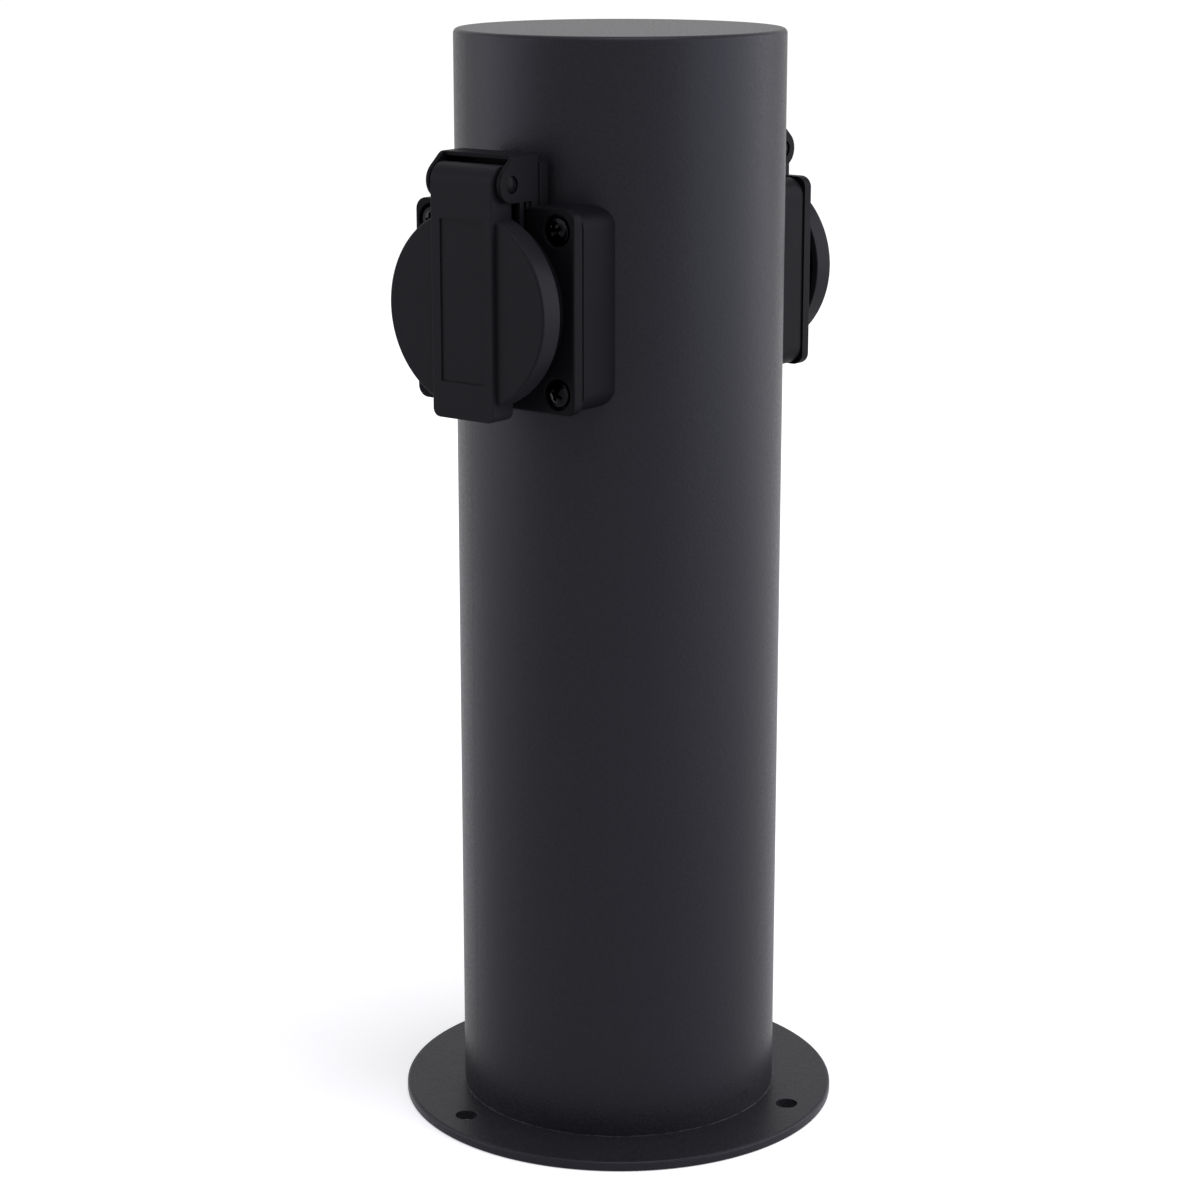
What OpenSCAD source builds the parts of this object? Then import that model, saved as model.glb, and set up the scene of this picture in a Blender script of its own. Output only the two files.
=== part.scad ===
// Garden socket post: a round powder-coated post on a foot plate, with two earthed
// sockets under spring lids, back to back near its top.
// Units are millimetres. The origin is the middle of the foot plate's underside, +Z is up.
// The front socket faces -Y and the rear one +Y. A socket is drawn in its own axes:
// u runs across it, n outwards from the post's axis, and z up from the socket's centre.

/* [Post] */
// Outer diameter of the tube
post_d = 80; // [74:0.5:100]
// Wall of the tube
tube_wall = 2; // [1.5:0.1:3]
// Overall height, from the ground to the top of the cap
post_h = 271; // [262:1:420]
// Thickness of the welded top disc
cap_t = 2; // [1.5:0.1:4]
// Rounding of the top disc's edge
cap_round = 1.2; // [0.3:0.1:1.4]

/* [Foot plate] */
// Diameter of the foot plate
base_d = 110; // [104:1:160]
// Thickness of the foot plate
base_t = 2.4; // [2:0.1:5]
// Rounding of the plate's upper edge
base_round = 0.8; // [0.2:0.1:1.5]
// Number of anchor holes
anchor_count = 3; // [3:1:6]
// Circle through the anchor holes
anchor_pcd = 94; // [92:1:98]
// Diameter of an anchor hole
anchor_hole_d = 5.5; // [3.5:0.1:7]
// Turn of the first anchor hole from +X, in degrees
anchor_turn = 13; // [0:1:90]
// Cable hole in the middle of the plate
cable_hole_d = 66; // [20:1:70]

/* [Socket] */
// How far the sockets' centres lie below the post's top
socket_drop = 61.5; // [55:0.5:80]
// Width and height of the square flange
flange_w = 47.4; // [43:0.1:54]
// Thickness of the flange
flange_t = 3; // [2.4:0.1:3.6]
// Corner radius of the flange
flange_round = 2.8; // [1:0.1:4]
// How far the flange's face stands out from the tube
flange_stand = 8; // [6:0.1:12]
// Seal between the flange and its block
flange_seal_t = 0.8; // [0.5:0.1:1.5]
// How far the block and the seal stay inside the flange's edge
block_inset = 0.2; // [0.1:0.05:0.4]
// Corner radius of the block
block_round = 4.6; // [2:0.1:6]
// Border of the flange outside the plug well
flange_border = 4.2; // [3.8:0.1:5.2]
// Depth of the plug well
well_depth = 17.5; // [16:0.1:18]
// Wall round the plug well
well_wall = 1.2; // [1:0.1:1.4]
// Thickness of the well's floor
well_floor_t = 2; // [1.5:0.1:3]
// Height of the collar in front of the flange
collar_h = 6.6; // [5.8:0.1:7]
// Distance between the two plug pin holes
pin_pitch = 19; // [18.5:0.1:19.5]
// Diameter of a plug pin hole
pin_hole_d = 5.2; // [4.9:0.1:5.6]
// Width of the guide ribs at the sides of the well
guide_w = 5.4; // [4:0.1:6]
// Depth of the guide ribs
guide_depth = 1.8; // [1:0.1:2.4]

/* [Flange screws] */
// Distance of a flange screw from the flange's edges
screw_edge = 4.95; // [4.4:0.05:5.2]
// Thread diameter of a flange screw
screw_d = 3.5; // [2.9:0.1:4]
// Length of a flange screw below its head
screw_len = 16; // [14:0.5:18]
// Diameter of a screw head
screw_head_d = 6.2; // [5.4:0.1:6.6]
// Height of a screw head
screw_head_h = 1.9; // [1.5:0.1:2.4]
// Depth of the round well that a head sits in
screw_well_depth = 1.4; // [0.8:0.1:1.8]

/* [Hinge and lid] */
// Height of the hinge pin above the lid's rim
hinge_rise = 6.1; // [5.6:0.1:8]
// Distance of the hinge pin in front of the flange's face
hinge_out = 6.4; // [6.2:0.1:6.8]
// Diameter of the hinge pin
hinge_pin_d = 2.8; // [2.2:0.1:3]
// Thickness of a hinge ear
ear_t = 1.2; // [1.1:0.1:1.6]
// Radius of an ear round the pin
ear_r = 4.3; // [4.1:0.1:4.6]
// Room between the strap and an ear
ear_gap = 0.75; // [0.6:0.05:1.2]
// Thickness of the rain hood that joins the ears
hood_t = 1.1; // [0.8:0.1:2]
// Room between the swinging strap and the hood
hood_gap = 0.3; // [0.25:0.05:0.6]
// Radius of the strap's curl over the hinge pin
knuckle_r = 4.3; // [4.1:0.1:4.8]
// How far the lid's rim stays inside the flange's edges
lid_inset = 0.6; // [0.2:0.1:0.8]
// Depth of the lid's rim
lid_depth = 6.1; // [5.7:0.1:6.5]
// Wall of the lid
lid_wall = 1.5; // [1.2:0.1:1.6]
// Open gap between the flange and the lid's rim
lid_gap = 4.1; // [3.9:0.1:4.4]
// Width of the strap across the lid
strap_w = 18.3; // [14:0.1:20]
// How far the strap stands out from the lid's face
strap_proud = 1.2; // [0.8:0.1:1.6]
// Reach of the finger tab below the lid's rim
tab_reach = 2.1; // [1.4:0.1:5]
// Corner radius of the finger tab
tab_round = 2; // [0.5:0.1:3]
// Width of the recessed panel on the strap
panel_w = 12.8; // [6:0.1:13.5]
// Upper end of the recessed panel above the socket's centre
panel_top = 21; // [10:0.1:23]
// Lower end of the recessed panel below the socket's centre
panel_drop = 16.6; // [10:0.1:22]
// Depth of the recessed panel
panel_depth = 0.4; // [0.2:0.05:0.8]

/* [Lid spring] */
// Wire of the lid spring
spring_wire_d = 0.8; // [0.5:0.05:0.9]
// Mean diameter of the spring's turns
spring_d = 5; // [4.6:0.1:5.2]
// Turns of the spring
spring_turns = 5; // [3:1:6]
// Distance from turn to turn
spring_pitch = 1.35; // [1.32:0.01:1.6]

/* [Contacts] */
// Length of the contact carrier behind the well's floor
carrier_len = 13; // [12.5:0.1:15]
// Back wall of the contact carrier
carrier_wall = 2.4; // [2.2:0.1:3]
// Bore of a contact sleeve
sleeve_bore_d = 4.9; // [4.7:0.05:5.1]
// Wall of a contact sleeve
sleeve_wall = 0.75; // [0.5:0.05:1]
// Width of a terminal
terminal_w = 7; // [5:0.1:7.4]
// Depth of a terminal, outwards
terminal_d = 8; // [7:0.1:9]
// Least distance of the terminals from the carrier's rim
terminal_edge = 1.4; // [1.2:0.1:2.4]
// Diameter of a terminal screw
terminal_screw_d = 2.9; // [2.2:0.1:3.2]
// Width of the earth strip
earth_strip_w = 6; // [4:0.1:7]
// Thickness of the earth strip
earth_strip_t = 0.8; // [0.5:0.05:1]
// Gap between an earth tongue and the wall of the well
tongue_gap = 1.5; // [1.1:0.1:2.2]

/* [Supply terminal block] */
// How far the block's underside lies below the sockets' centres
block_drop = 81.5; // [74:0.5:88]
// Height of the block
block_h = 20; // [18:0.5:24]
// Depth of the block
block_depth = 16; // [15.5:0.1:18]
// Distance from pole to pole
pole_pitch = 13; // [12.5:0.1:14]
// Width of a brass insert
insert_w = 8.4; // [7.5:0.1:8.8]
// Depth of a brass insert
insert_depth = 9; // [7:0.1:9.5]
// Distance of the bracket's outer face from the post's axis
bracket_out = 30; // [29:0.1:31]
// Thickness of the bracket
bracket_t = 2; // [1.5:0.1:3]
// Height of the bracket
bracket_h = 50; // [46:1:60]
// Diameter of the earth stud
stud_d = 4; // [3:0.5:5]

/* [Wires] */
// Outer diameter of a wire
wire_d = 2.4; // [1.8:0.1:2.6]
// Diameter of a wire's bare end
core_d = 1.4; // [1:0.1:1.6]

/* [Hidden] */
$fn = 96;

// Clearances
body_gap = 0.8;      // housing in its block and in the tube's cut-out
seat_gap = 0.1;      // pieces that are seated on or in each other
screw_gap = 0.05;    // a thread in its hole
through_gap = 0.25;  // a screw through a plain hole
run_gap = 0.06;      // the knuckle on the hinge pin
lid_clear = 0.3;     // seal against collar
core_gap = 0.3;      // a wire's bare end in its terminal
wire_gap = 0.3;      // a wire in its hole
wire_end_gap = 0.4;  // a wire's cover short of its terminal
spring_gap = 0.35;   // the lid spring in its pocket
rib_gap = 0.4;       // the ears' ribs behind the lid's rim
cut = 1;             // how far a cutting shape runs past a face

// Height of the sockets' centres above the ground
socket_z = post_h - socket_drop;

// Distances out from the post's axis
tube_r = post_d / 2;
tube_in_r = tube_r - tube_wall;
flange_front = tube_r + flange_stand;
flange_back = flange_front - flange_t;
block_front = flange_back - flange_seal_t;
collar_front = flange_front + collar_h;
well_bottom = collar_front - well_depth;
floor_back = well_bottom - well_floor_t;
lid_back = flange_front + lid_gap;
lid_front = lid_back + lid_depth;
lid_inside = lid_front - lid_wall;
strap_front = lid_front + strap_proud;
pin_out = flange_front + hinge_out;

// Socket housing
well_r = flange_w / 2 - flange_border;
collar_r = well_r + well_wall;
body_hole_r = collar_r + body_gap;
skirt_len = 4;
guide_set_back = 1;
screw_at = flange_w / 2 - screw_edge;
screw_seat = flange_front - screw_well_depth;
screw_well_border = 0.6;
screw_well_r = screw_head_d / 2 + screw_well_border;
screw_cross = 0.9;
screw_cross_reach = 1.86;
screw_cross_floor = 0.6;
screw_dome_ease = 1;

// Lid's rim, and what is placed from it
lid_r = flange_w / 2 - lid_inset;
hinge_up = lid_r + hinge_rise;
tab_drop = lid_r + tab_reach;

// Hinge
swing_r = strap_front - pin_out;
knuckle_shift = swing_r - knuckle_r;
pin_r = hinge_pin_d / 2;
pin_head_step = 0.55;
pin_head_r = pin_r + pin_head_step;
pin_head_t = 0.8;
pin_dome = 0.4;
ear_in = strap_w / 2 + ear_gap;
ear_out = ear_in + ear_t;
hood_under = hinge_up + swing_r + hood_gap;
ear_top = hood_under + hood_t;
ear_sink = 1.5;
ear_back = flange_front - ear_sink;
ear_bottom = hinge_up - ear_r;
ear_corner = 2.4;
ear_lean = 1.8;
hood_set_back = 1.2;
back_wall_proud = 0.7;
back_wall_front = flange_front + back_wall_proud;
back_wall_drop = 1;
rib_t = 1.5;
rib_front = lid_back - rib_gap;
rib_foot = sqrt(pow(well_r + well_wall / 2, 2) - pow((ear_in + ear_out) / 2, 2));

// Tab of the block and of the seal, behind the hinge
tab_step = 0.3;
tab_corner = 1.5;
tab_tube_gap = 1;

// Lid
lid_in_r = lid_r - lid_wall;
lid_round = 0.6;
seal_lap = 1;
seal_in_r = well_r - seal_lap;
spring_out_r = (spring_d + spring_wire_d) / 2;
pocket_r = spring_out_r + spring_gap;
spring_len = spring_turns * spring_pitch;
spring_end_gap = 0.5;
pocket_half = (spring_len + spring_wire_d) / 2 + spring_end_gap;
spring_leg = 5;

// Contacts
carrier_r = well_r - seat_gap;
carrier_back = floor_back - carrier_len;
contact_front = floor_back - seat_gap;
sleeve_back = carrier_back + carrier_wall;
sleeve_in_r = sleeve_bore_d / 2;
sleeve_r = sleeve_in_r + sleeve_wall;
pin_at = pin_pitch / 2;
terminal_step = 0.5;
terminal_back = sleeve_back + terminal_step;
terminal_mid = terminal_back + terminal_d / 2;
terminal_top = -sleeve_in_r;
terminal_corner = pin_at + terminal_w / 2;
terminal_drop = sqrt(pow(carrier_r, 2) - pow(terminal_corner, 2)) - terminal_edge;
terminal_screw_rise = 4.5;
terminal_screw_z = -terminal_drop + terminal_screw_rise;
terminal_head_step = 0.5;
terminal_head_d = terminal_screw_d + 2 * terminal_head_step;
terminal_head_h = 1.6;
pocket_gap = 0.2;
earth_tongue_up = well_r - tongue_gap - earth_strip_t;
tongue_set_back = 4.5;
tongue_end = collar_front - tongue_set_back;
tongue_bow = 0.7;
core_r = core_d / 2;
wire_r = wire_d / 2;
core_len = 7;
core_hole_r = core_r + core_gap;
driver_slot = 0.7;
core_tip_room = 1;
core_lap = 1;
wire_hole_r = wire_r + wire_gap;
wire_start_z = socket_z - terminal_drop - wire_end_gap;

// Supply terminal block, on a plate that closes a chord of the tube
bracket_in = bracket_out - bracket_t;
bracket_half_w = sqrt(pow(tube_in_r, 2) - pow(bracket_out, 2)) - seat_gap;
block_z = socket_z - block_drop;
bracket_above = 4;
bracket_z = block_z + block_h + bracket_above - bracket_h;
block_face = bracket_in - block_depth;
block_wall = 2.2;
block_half_w = pole_pitch + insert_w / 2 + block_wall;
block_top_wall = 1;
insert_set_back = 3.5;
insert_face = block_face + insert_set_back;
insert_lead_in = 1;
bore_x = insert_face + insert_depth / 2;
bore_step = insert_w / 4;
clamp_d = 2.5;
clamp_head_d = 3.6;
clamp_head_h = 2;
clamp_from_end = 5;
bracket_screw_d = 2.5;
bracket_head_d = 4.6;
bracket_head_h = 1.8;
stud_y = 14;
stud_drop = 12;
stud_z = block_z - stud_drop;
stud_len = 12;
lug_t = 0.8;
lug_border = 1.9;
lug_r = stud_d / 2 + lug_border;
nut_across = 1.75 * stud_d;
nut_h = 0.8 * stud_d;
barrel_wall = 1.1;
barrel_r = core_r + barrel_wall;
barrel_len = 5;
barrel_step = 1;
barrel_top = stud_z - lug_r - barrel_step;
barrel_wire_gap = 0.2;
barrel_x = bracket_in - barrel_r;
poles = [-1, 0, 1];

// Routes of the wires: each leaves its terminals straight, and the points between are chosen,
// with their heights from the sockets' centres
wire_leads = [6, 10];
front_line_via = [[13, -24, -36.5], [19, -16, -46.5]];
front_earth_via = [[3, -24, -37.5], [12, -12, -46.5], [18.5, -3.5, -51.5]];
front_neutral_via = [[-5, -22, -28.5], [5, -8, -29.5], [16, 7, -31.5], [20, 11, -40.5]];
rear_line_via = [[-6, 23, -34.5], [5, 8, -38.5], [16, -7, -40.5], [20, -11, -48.5]];
rear_earth_via = [[3, 24, -37.5], [12, 12, -46.5], [18.5, 3.5, -51.5]];
rear_neutral_via = [[13, 24, -36.5], [19, 16, -46.5]];
post_earth_via = [[23.5, 10, -116], [21, 5.5, -116], [20, 2.5, -110.5]];
wire_steps = 4;
wire_sides = 8;

// A flat outline drawn in u and z, made solid from n0 out to n1
module outwards(n0, n1) {
    translate([0, -n0, 0]) rotate([90, 0, 0]) linear_extrude(n1 - n0) children();
}

// A flat outline drawn in n and z, made solid from u0 across to u1
module across(u0, u1) {
    translate([u1, 0, 0]) rotate([90, 0, -90]) linear_extrude(u1 - u0) children();
}

// A half outline drawn in radius and n, turned about the socket's centre line
module turned() {
    rotate([90, 0, 0]) rotate_extrude() children();
}

// A round bar along n
module bar_out(r, n0, n1) {
    translate([0, -n0, 0]) rotate([90, 0, 0]) cylinder(r = r, h = n1 - n0);
}

// A round bar along u, centred on the hinge pin
module bar_across(r, u0, u1) {
    translate([u0, -pin_out, hinge_up]) rotate([0, 90, 0]) cylinder(r = r, h = u1 - u0);
}

// A block given by its low and high corners in u, n and z
module block_at(low, high) {
    translate([low.x, -high.y, low.z]) cube([high.x - low.x, high.y - low.y, high.z - low.z]);
}

// A round bar along +X at a height and a side place
module bar_x(r, x0, x1, y, z) {
    translate([x0, y, z]) rotate([0, 90, 0]) cylinder(r = r, h = x1 - x0);
}

// A rectangle with round corners, centred
module round_square(w, h, r) {
    square([w - 2 * r, h], center = true);
    square([w, h - 2 * r], center = true);
    for (x = [-1, 1], y = [-1, 1]) translate([x * (w / 2 - r), y * (h / 2 - r)]) circle(r);
}

// A rectangle from low to high with its outer upper corner rounded
module one_round(low, high, r) {
    difference() {
        translate(low) square(high - low);
        translate(high - [r, r]) difference() {
            square(r + cut);
            circle(r);
        }
    }
}

// The four flange screw places
module at_screws() {
    for (u = [-1, 1], z = [-1, 1]) translate([u * screw_at, 0, z * screw_at]) children();
}

// The two sockets' places on the post
module front() {
    translate([0, 0, socket_z]) children();
}

module rear() {
    rotate([0, 0, 180]) front() children();
}

// Smooth points through a route
function curve_point(a, b, c, d, t) =
    0.5 * (2 * b + (c - a) * t + (2 * a - 5 * b + 4 * c - d) * t * t
        + (3 * b - a - 3 * c + d) * t * t * t);
function smooth(p, steps) = concat(
    [for (i = [0 : len(p) - 2], k = [0 : steps - 1])
        curve_point(p[max(i - 1, 0)], p[i], p[i + 1], p[min(i + 2, len(p) - 1)], k / steps)],
    [p[len(p) - 1]]
);

// Directions along a path, and side directions carried along it without twist
function unit(v) = v / norm(v);
function directions(p) =
    [for (i = [0 : len(p) - 1]) unit(p[min(i + 1, len(p) - 1)] - p[max(i - 1, 0)])];
function first_side(d) = unit(cross(d, abs(d.z) < 0.9 ? [0, 0, 1] : [1, 0, 0]));
function flattened(side, d) = unit(side - (side * d) * d);
function sides_along(d) =
    [for (i = 0, s = first_side(d[0]); i < len(d); i = i + 1, s = i < len(d) ? flattened(s, d[i]) : s) s];

// A solid tube along a path
module tube(path, r, sides) {
    d = directions(path);
    s = sides_along(d);
    last = (len(path) - 1) * sides;
    points = [for (i = [0 : len(path) - 1], k = [0 : sides - 1])
        path[i] + r * (cos(360 * k / sides) * s[i] + sin(360 * k / sides) * cross(d[i], s[i]))];
    walls = [for (i = [0 : len(path) - 2], k = [0 : sides - 1], half = [0, 1])
        let (a = i * sides + k, b = i * sides + (k + 1) % sides)
        half == 0 ? [a, a + sides, b + sides] : [a, b + sides, b]];
    start = [for (k = [1 : sides - 2]) [0, k, k + 1]];
    finish = [for (k = [1 : sides - 2]) [last, last + k + 1, last + k]];
    polyhedron(points, concat(walls, start, finish));
}

// Post tube with the sockets' cut-outs and screw holes
module socket_cuts() {
    bar_out(body_hole_r, 0, tube_r + cut);
    at_screws() bar_out(screw_d / 2 + screw_gap, 0, tube_r + cut);
}

module post_tube() {
    color("#2b2b2e") difference() {
        translate([0, 0, base_t]) cylinder(r = tube_r, h = post_h - cap_t - base_t);
        translate([0, 0, base_t - cut]) cylinder(r = tube_in_r, h = post_h);
        front() socket_cuts();
        rear() socket_cuts();
    }
}

module top_cap() {
    color("#2f2f33") rotate_extrude() one_round([0, post_h - cap_t], [tube_r, post_h], cap_round);
}

module base_plate() {
    color("#29292c") difference() {
        rotate_extrude() one_round([cable_hole_d / 2, 0], [base_d / 2, base_t], base_round);
        for (i = [0 : anchor_count - 1])
            rotate([0, 0, anchor_turn + i * 360 / anchor_count])
                translate([anchor_pcd / 2, 0, -cut])
                    cylinder(d = anchor_hole_d, h = base_t + 2 * cut);
    }
}

// Outline of a tab behind the hinge, in u and z, kept inside the ears and below the hood's top
module tab_outline(inset) {
    top = ear_top - hood_t - inset;
    translate([0, top / 2]) round_square(2 * (ear_out - inset), top, tab_corner);
}

// Block between the flange and the tube, hollowed to the tube's round, with a tab behind the hinge
module saddle_block() {
    w = flange_w - 2 * block_inset;
    color("#1d1d1f") difference() {
        union() {
            outwards(0, block_front) round_square(w, w, block_round);
            outwards(tube_r + tab_tube_gap, block_front) tab_outline(tab_step);
        }
        translate([0, 0, -w]) cylinder(r = tube_r + seat_gap, h = 2 * w);
        bar_out(body_hole_r, 0, block_front + cut);
        at_screws() bar_out(screw_d / 2 + through_gap, 0, block_front + cut);
    }
}

module flange_gasket() {
    w = flange_w - 4 * block_inset;
    color("#101010") outwards(block_front, flange_back) difference() {
        union() {
            round_square(w, w, block_round);
            tab_outline(2 * tab_step);
        }
        circle(body_hole_r);
        for (u = [-1, 1], z = [-1, 1])
            translate([u * screw_at, z * screw_at]) circle(screw_d / 2 + through_gap);
    }
}

// Outline of a hinge ear, in n and z: round at the pin, sloping up to the round end of its top
module ear_outline() {
    pin_place = [pin_out, hinge_up];
    corner = [pin_out - ear_lean, ear_top - ear_corner];
    away = corner - pin_place;
    turn = atan2(away.y, away.x) - acos((ear_r - ear_corner) / norm(away));
    side = [cos(turn), sin(turn)];
    translate([ear_back, ear_bottom]) square([pin_out - ear_back, hinge_up - ear_bottom]);
    translate([ear_back, hinge_up]) square([corner.x - ear_back, ear_top - hinge_up]);
    translate(pin_place) circle(ear_r);
    translate(corner) circle(ear_corner);
    polygon([pin_place, pin_place + ear_r * side, corner + ear_corner * side, corner]);
}

// Hinge bracket of the housing: back plate, rear wall, two ears on ribs, and the hood
module hinge_bracket() {
    outwards(flange_back, flange_front)
        translate([-ear_out, 0]) square([2 * ear_out, ear_top]);
    block_at([-ear_out, ear_back, ear_bottom - back_wall_drop], [ear_out, back_wall_front, ear_top]);
    for (side = [-1, 1]) {
        u0 = side > 0 ? ear_in : -ear_out;
        across(u0, u0 + ear_t) ear_outline();
        block_at([u0, rib_front - rib_t, rib_foot], [u0 + ear_t, rib_front, hinge_up - pin_r]);
    }
    across(-ear_in, ear_in) intersection() {
        ear_outline();
        translate([ear_back, hood_under]) square([pin_out - hood_set_back - ear_back, hood_t]);
    }
}

module socket_housing() {
    slot_half = earth_strip_w / 2 + pocket_gap;
    slot_low = earth_tongue_up - pocket_gap;
    slot_high = earth_tongue_up + earth_strip_t + pocket_gap;
    color("#1a1a1c") difference() {
        union() {
            outwards(flange_back, flange_front) round_square(flange_w, flange_w, flange_round);
            bar_out(collar_r, floor_back - skirt_len, collar_front);
            hinge_bracket();
        }
        difference() {
            bar_out(well_r, well_bottom, collar_front + cut);
            for (side = [-1, 1])
                block_at([side * well_r - guide_depth, well_bottom, -guide_w / 2],
                    [side * well_r + guide_depth, collar_front - guide_set_back, guide_w / 2]);
        }
        bar_out(well_r, floor_back - skirt_len - cut, floor_back);
        for (side = [-1, 1]) {
            translate([side * pin_at, 0, 0]) bar_out(pin_hole_d / 2, floor_back - cut, well_bottom + cut);
            block_at([-slot_half, floor_back - cut, side > 0 ? slot_low : -slot_high],
                [slot_half, well_bottom + cut, side > 0 ? slot_high : -slot_low]);
        }
        at_screws() {
            bar_out(screw_d / 2 + through_gap, flange_back - cut, flange_front + cut);
            bar_out(screw_well_r, screw_seat, flange_front + cut);
        }
        bar_across(pin_r + screw_gap, -ear_out - cut, ear_out + cut);
        for (side = [-1, 1]) {
            u0 = side > 0 ? ear_out - pin_head_t : -ear_out - cut;
            bar_across(pin_head_r + screw_gap, u0, u0 + pin_head_t + cut);
        }
    }
}

// Pan-head screws with a cross recess
module flange_screws() {
    dome_r = (pow(screw_head_d / 2, 2) + pow(screw_head_h, 2)) / (2 * screw_head_h) + screw_dome_ease;
    color("#0c0c0c") at_screws() difference() {
        union() {
            bar_out(screw_d / 2, screw_seat - screw_len, screw_seat + screw_head_h / 2);
            intersection() {
                bar_out(screw_head_d / 2, screw_seat, screw_seat + screw_head_h);
                translate([0, dome_r - screw_seat - screw_head_h, 0]) sphere(dome_r);
            }
        }
        for (turn = [0, 90])
            rotate([0, 45 + turn, 0])
                block_at([-screw_cross / 2, screw_seat + screw_cross_floor, -screw_cross_reach],
                    [screw_cross / 2, screw_seat + screw_head_h + cut, screw_cross_reach]);
    }
}

// Hinge pin with a domed head in each ear, turned about its own axis
module pin_half() {
    dome_r = (pow(pin_head_r, 2) + pow(pin_dome, 2)) / (2 * pin_dome);
    square([pin_r, ear_out - pin_dome]);
    intersection() {
        translate([0, ear_out - pin_head_t]) square([pin_head_r, pin_head_t]);
        translate([0, ear_out - dome_r]) circle(dome_r);
    }
}

module hinge_pin() {
    color("#1a1a1c") translate([0, -pin_out, hinge_up]) rotate([0, 90, 0]) rotate_extrude() {
        pin_half();
        mirror([0, 1]) pin_half();
    }
}

// Path of the lid spring: a leg on the housing's rear wall, the turns, and a leg down the lid
spring_r = spring_d / 2;
spring_rings = 8;
spring_sides = 6;
function spring_turn_point(i) = let (a = 90 + 360 * i / spring_rings)
    [spring_pitch * i / spring_rings - spring_len / 2,
        -pin_out - spring_r * cos(a), hinge_up + spring_r * sin(a)];
spring_last = spring_turns * spring_rings - 2;
spring_coil = [for (i = [0 : spring_last]) spring_turn_point(i)];
spring_wall_end = [spring_coil[0].x, -back_wall_front - spring_wire_d, hinge_up + spring_r];
spring_lid_end = spring_coil[spring_last] - [0, 0, spring_leg];
spring_path = concat([spring_wall_end], spring_coil, [spring_lid_end]);
spring_self_gap = min([for (i = [0 : spring_last], k = [i + spring_rings / 2 : 1 : spring_last])
    norm(spring_coil[i] - spring_coil[k])]) - spring_wire_d;
echo(str("lid spring, least gap to itself: ", spring_self_gap, " mm"));

module lid_spring() {
    color("#b9bcc0") tube(spring_path, spring_wire_d / 2, spring_sides);
}

// Outline of the strap and its finger tab, in u and z
module strap_outline() {
    half = strap_w / 2;
    translate([-half, -tab_drop + tab_round]) square([strap_w, tab_drop - tab_round + hinge_up]);
    translate([-half + tab_round, -tab_drop]) square([strap_w - 2 * tab_round, tab_drop]);
    for (u = [-1, 1]) translate([u * (half - tab_round), -tab_drop + tab_round]) circle(tab_round);
}

module lid() {
    half = strap_w / 2;
    leg_u = spring_lid_end.x;
    leg_room = spring_wire_d / 2 + spring_gap;
    color("#1a1a1c") difference() {
        union() {
            turned() one_round([0, lid_back], [lid_r, lid_front], lid_round);
            outwards(lid_back, strap_front) strap_outline();
            translate([0, -knuckle_shift, 0]) bar_across(knuckle_r, -half, half);
        }
        bar_out(lid_in_r, lid_back - cut, lid_inside);
        outwards(strap_front - panel_depth, strap_front + cut)
            translate([-panel_w / 2, -panel_drop]) square([panel_w, panel_drop + panel_top]);
        bar_across(pin_r + run_gap, -half - cut, half + cut);
        bar_across(pocket_r, -pocket_half, pocket_half);
        block_at([-pocket_half, back_wall_front, hinge_up - pocket_r],
            [pocket_half, pin_out, hinge_up + pocket_r]);
        block_at([leg_u - leg_room, pin_out, hinge_up - spring_leg - leg_room],
            [leg_u + leg_room, pin_out + pocket_r, hinge_up]);
    }
}

module lid_gasket() {
    color("#2a2a2a") turned() translate([seal_in_r, collar_front + lid_clear])
        square([lid_in_r - seat_gap - seal_in_r, lid_inside - collar_front - lid_clear]);
}

// Room that a contact with its terminal takes in the carrier
module terminal_room(u) {
    g = pocket_gap;
    half = terminal_w / 2 + g;
    block_at([u - half, terminal_back - g, -terminal_drop - g], [u + half, floor_back + cut, terminal_top]);
    translate([u, 0, terminal_screw_z]) bar_out(terminal_head_d / 2 + g, carrier_back - cut, terminal_back);
    translate([u, -terminal_mid, -carrier_r - cut]) cylinder(r = wire_hole_r, h = carrier_r);
}

module contact_carrier() {
    strip_half = earth_strip_w / 2 + pocket_gap;
    strip_end = earth_tongue_up + earth_strip_t + pocket_gap;
    color("#d8d4c8") difference() {
        bar_out(carrier_r, carrier_back, floor_back);
        for (side = [-1, 1])
            translate([side * pin_at, 0, 0]) bar_out(sleeve_r + pocket_gap, sleeve_back, floor_back + cut);
        for (u = [-pin_at, 0, pin_at]) terminal_room(u);
        block_at([-strip_half, contact_front - earth_strip_t - pocket_gap, -strip_end],
            [strip_half, floor_back + cut, strip_end]);
    }
}

// Holes of a terminal: the wire from below and the clamp screw from behind
module terminal_holes(u) {
    translate([u, -terminal_mid, -terminal_drop - cut])
        cylinder(r = core_hole_r, h = core_len + cut + core_tip_room);
    translate([u, 0, terminal_screw_z])
        bar_out(terminal_screw_d / 2 + screw_gap, terminal_back - cut, terminal_mid);
}

// Sleeve for one plug pin, with its terminal below it
module pin_contact(u) {
    color("#b08d57") difference() {
        union() {
            translate([u, 0, 0]) bar_out(sleeve_r, sleeve_back, contact_front);
            block_at([u - terminal_w / 2, terminal_back, -terminal_drop],
                [u + terminal_w / 2, terminal_back + terminal_d, terminal_top]);
        }
        translate([u, 0, 0]) bar_out(sleeve_in_r, sleeve_back - cut, contact_front + cut);
        terminal_holes(u);
    }
}

module line_contact() {
    pin_contact(pin_at);
}

module neutral_contact() {
    pin_contact(-pin_at);
}

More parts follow.
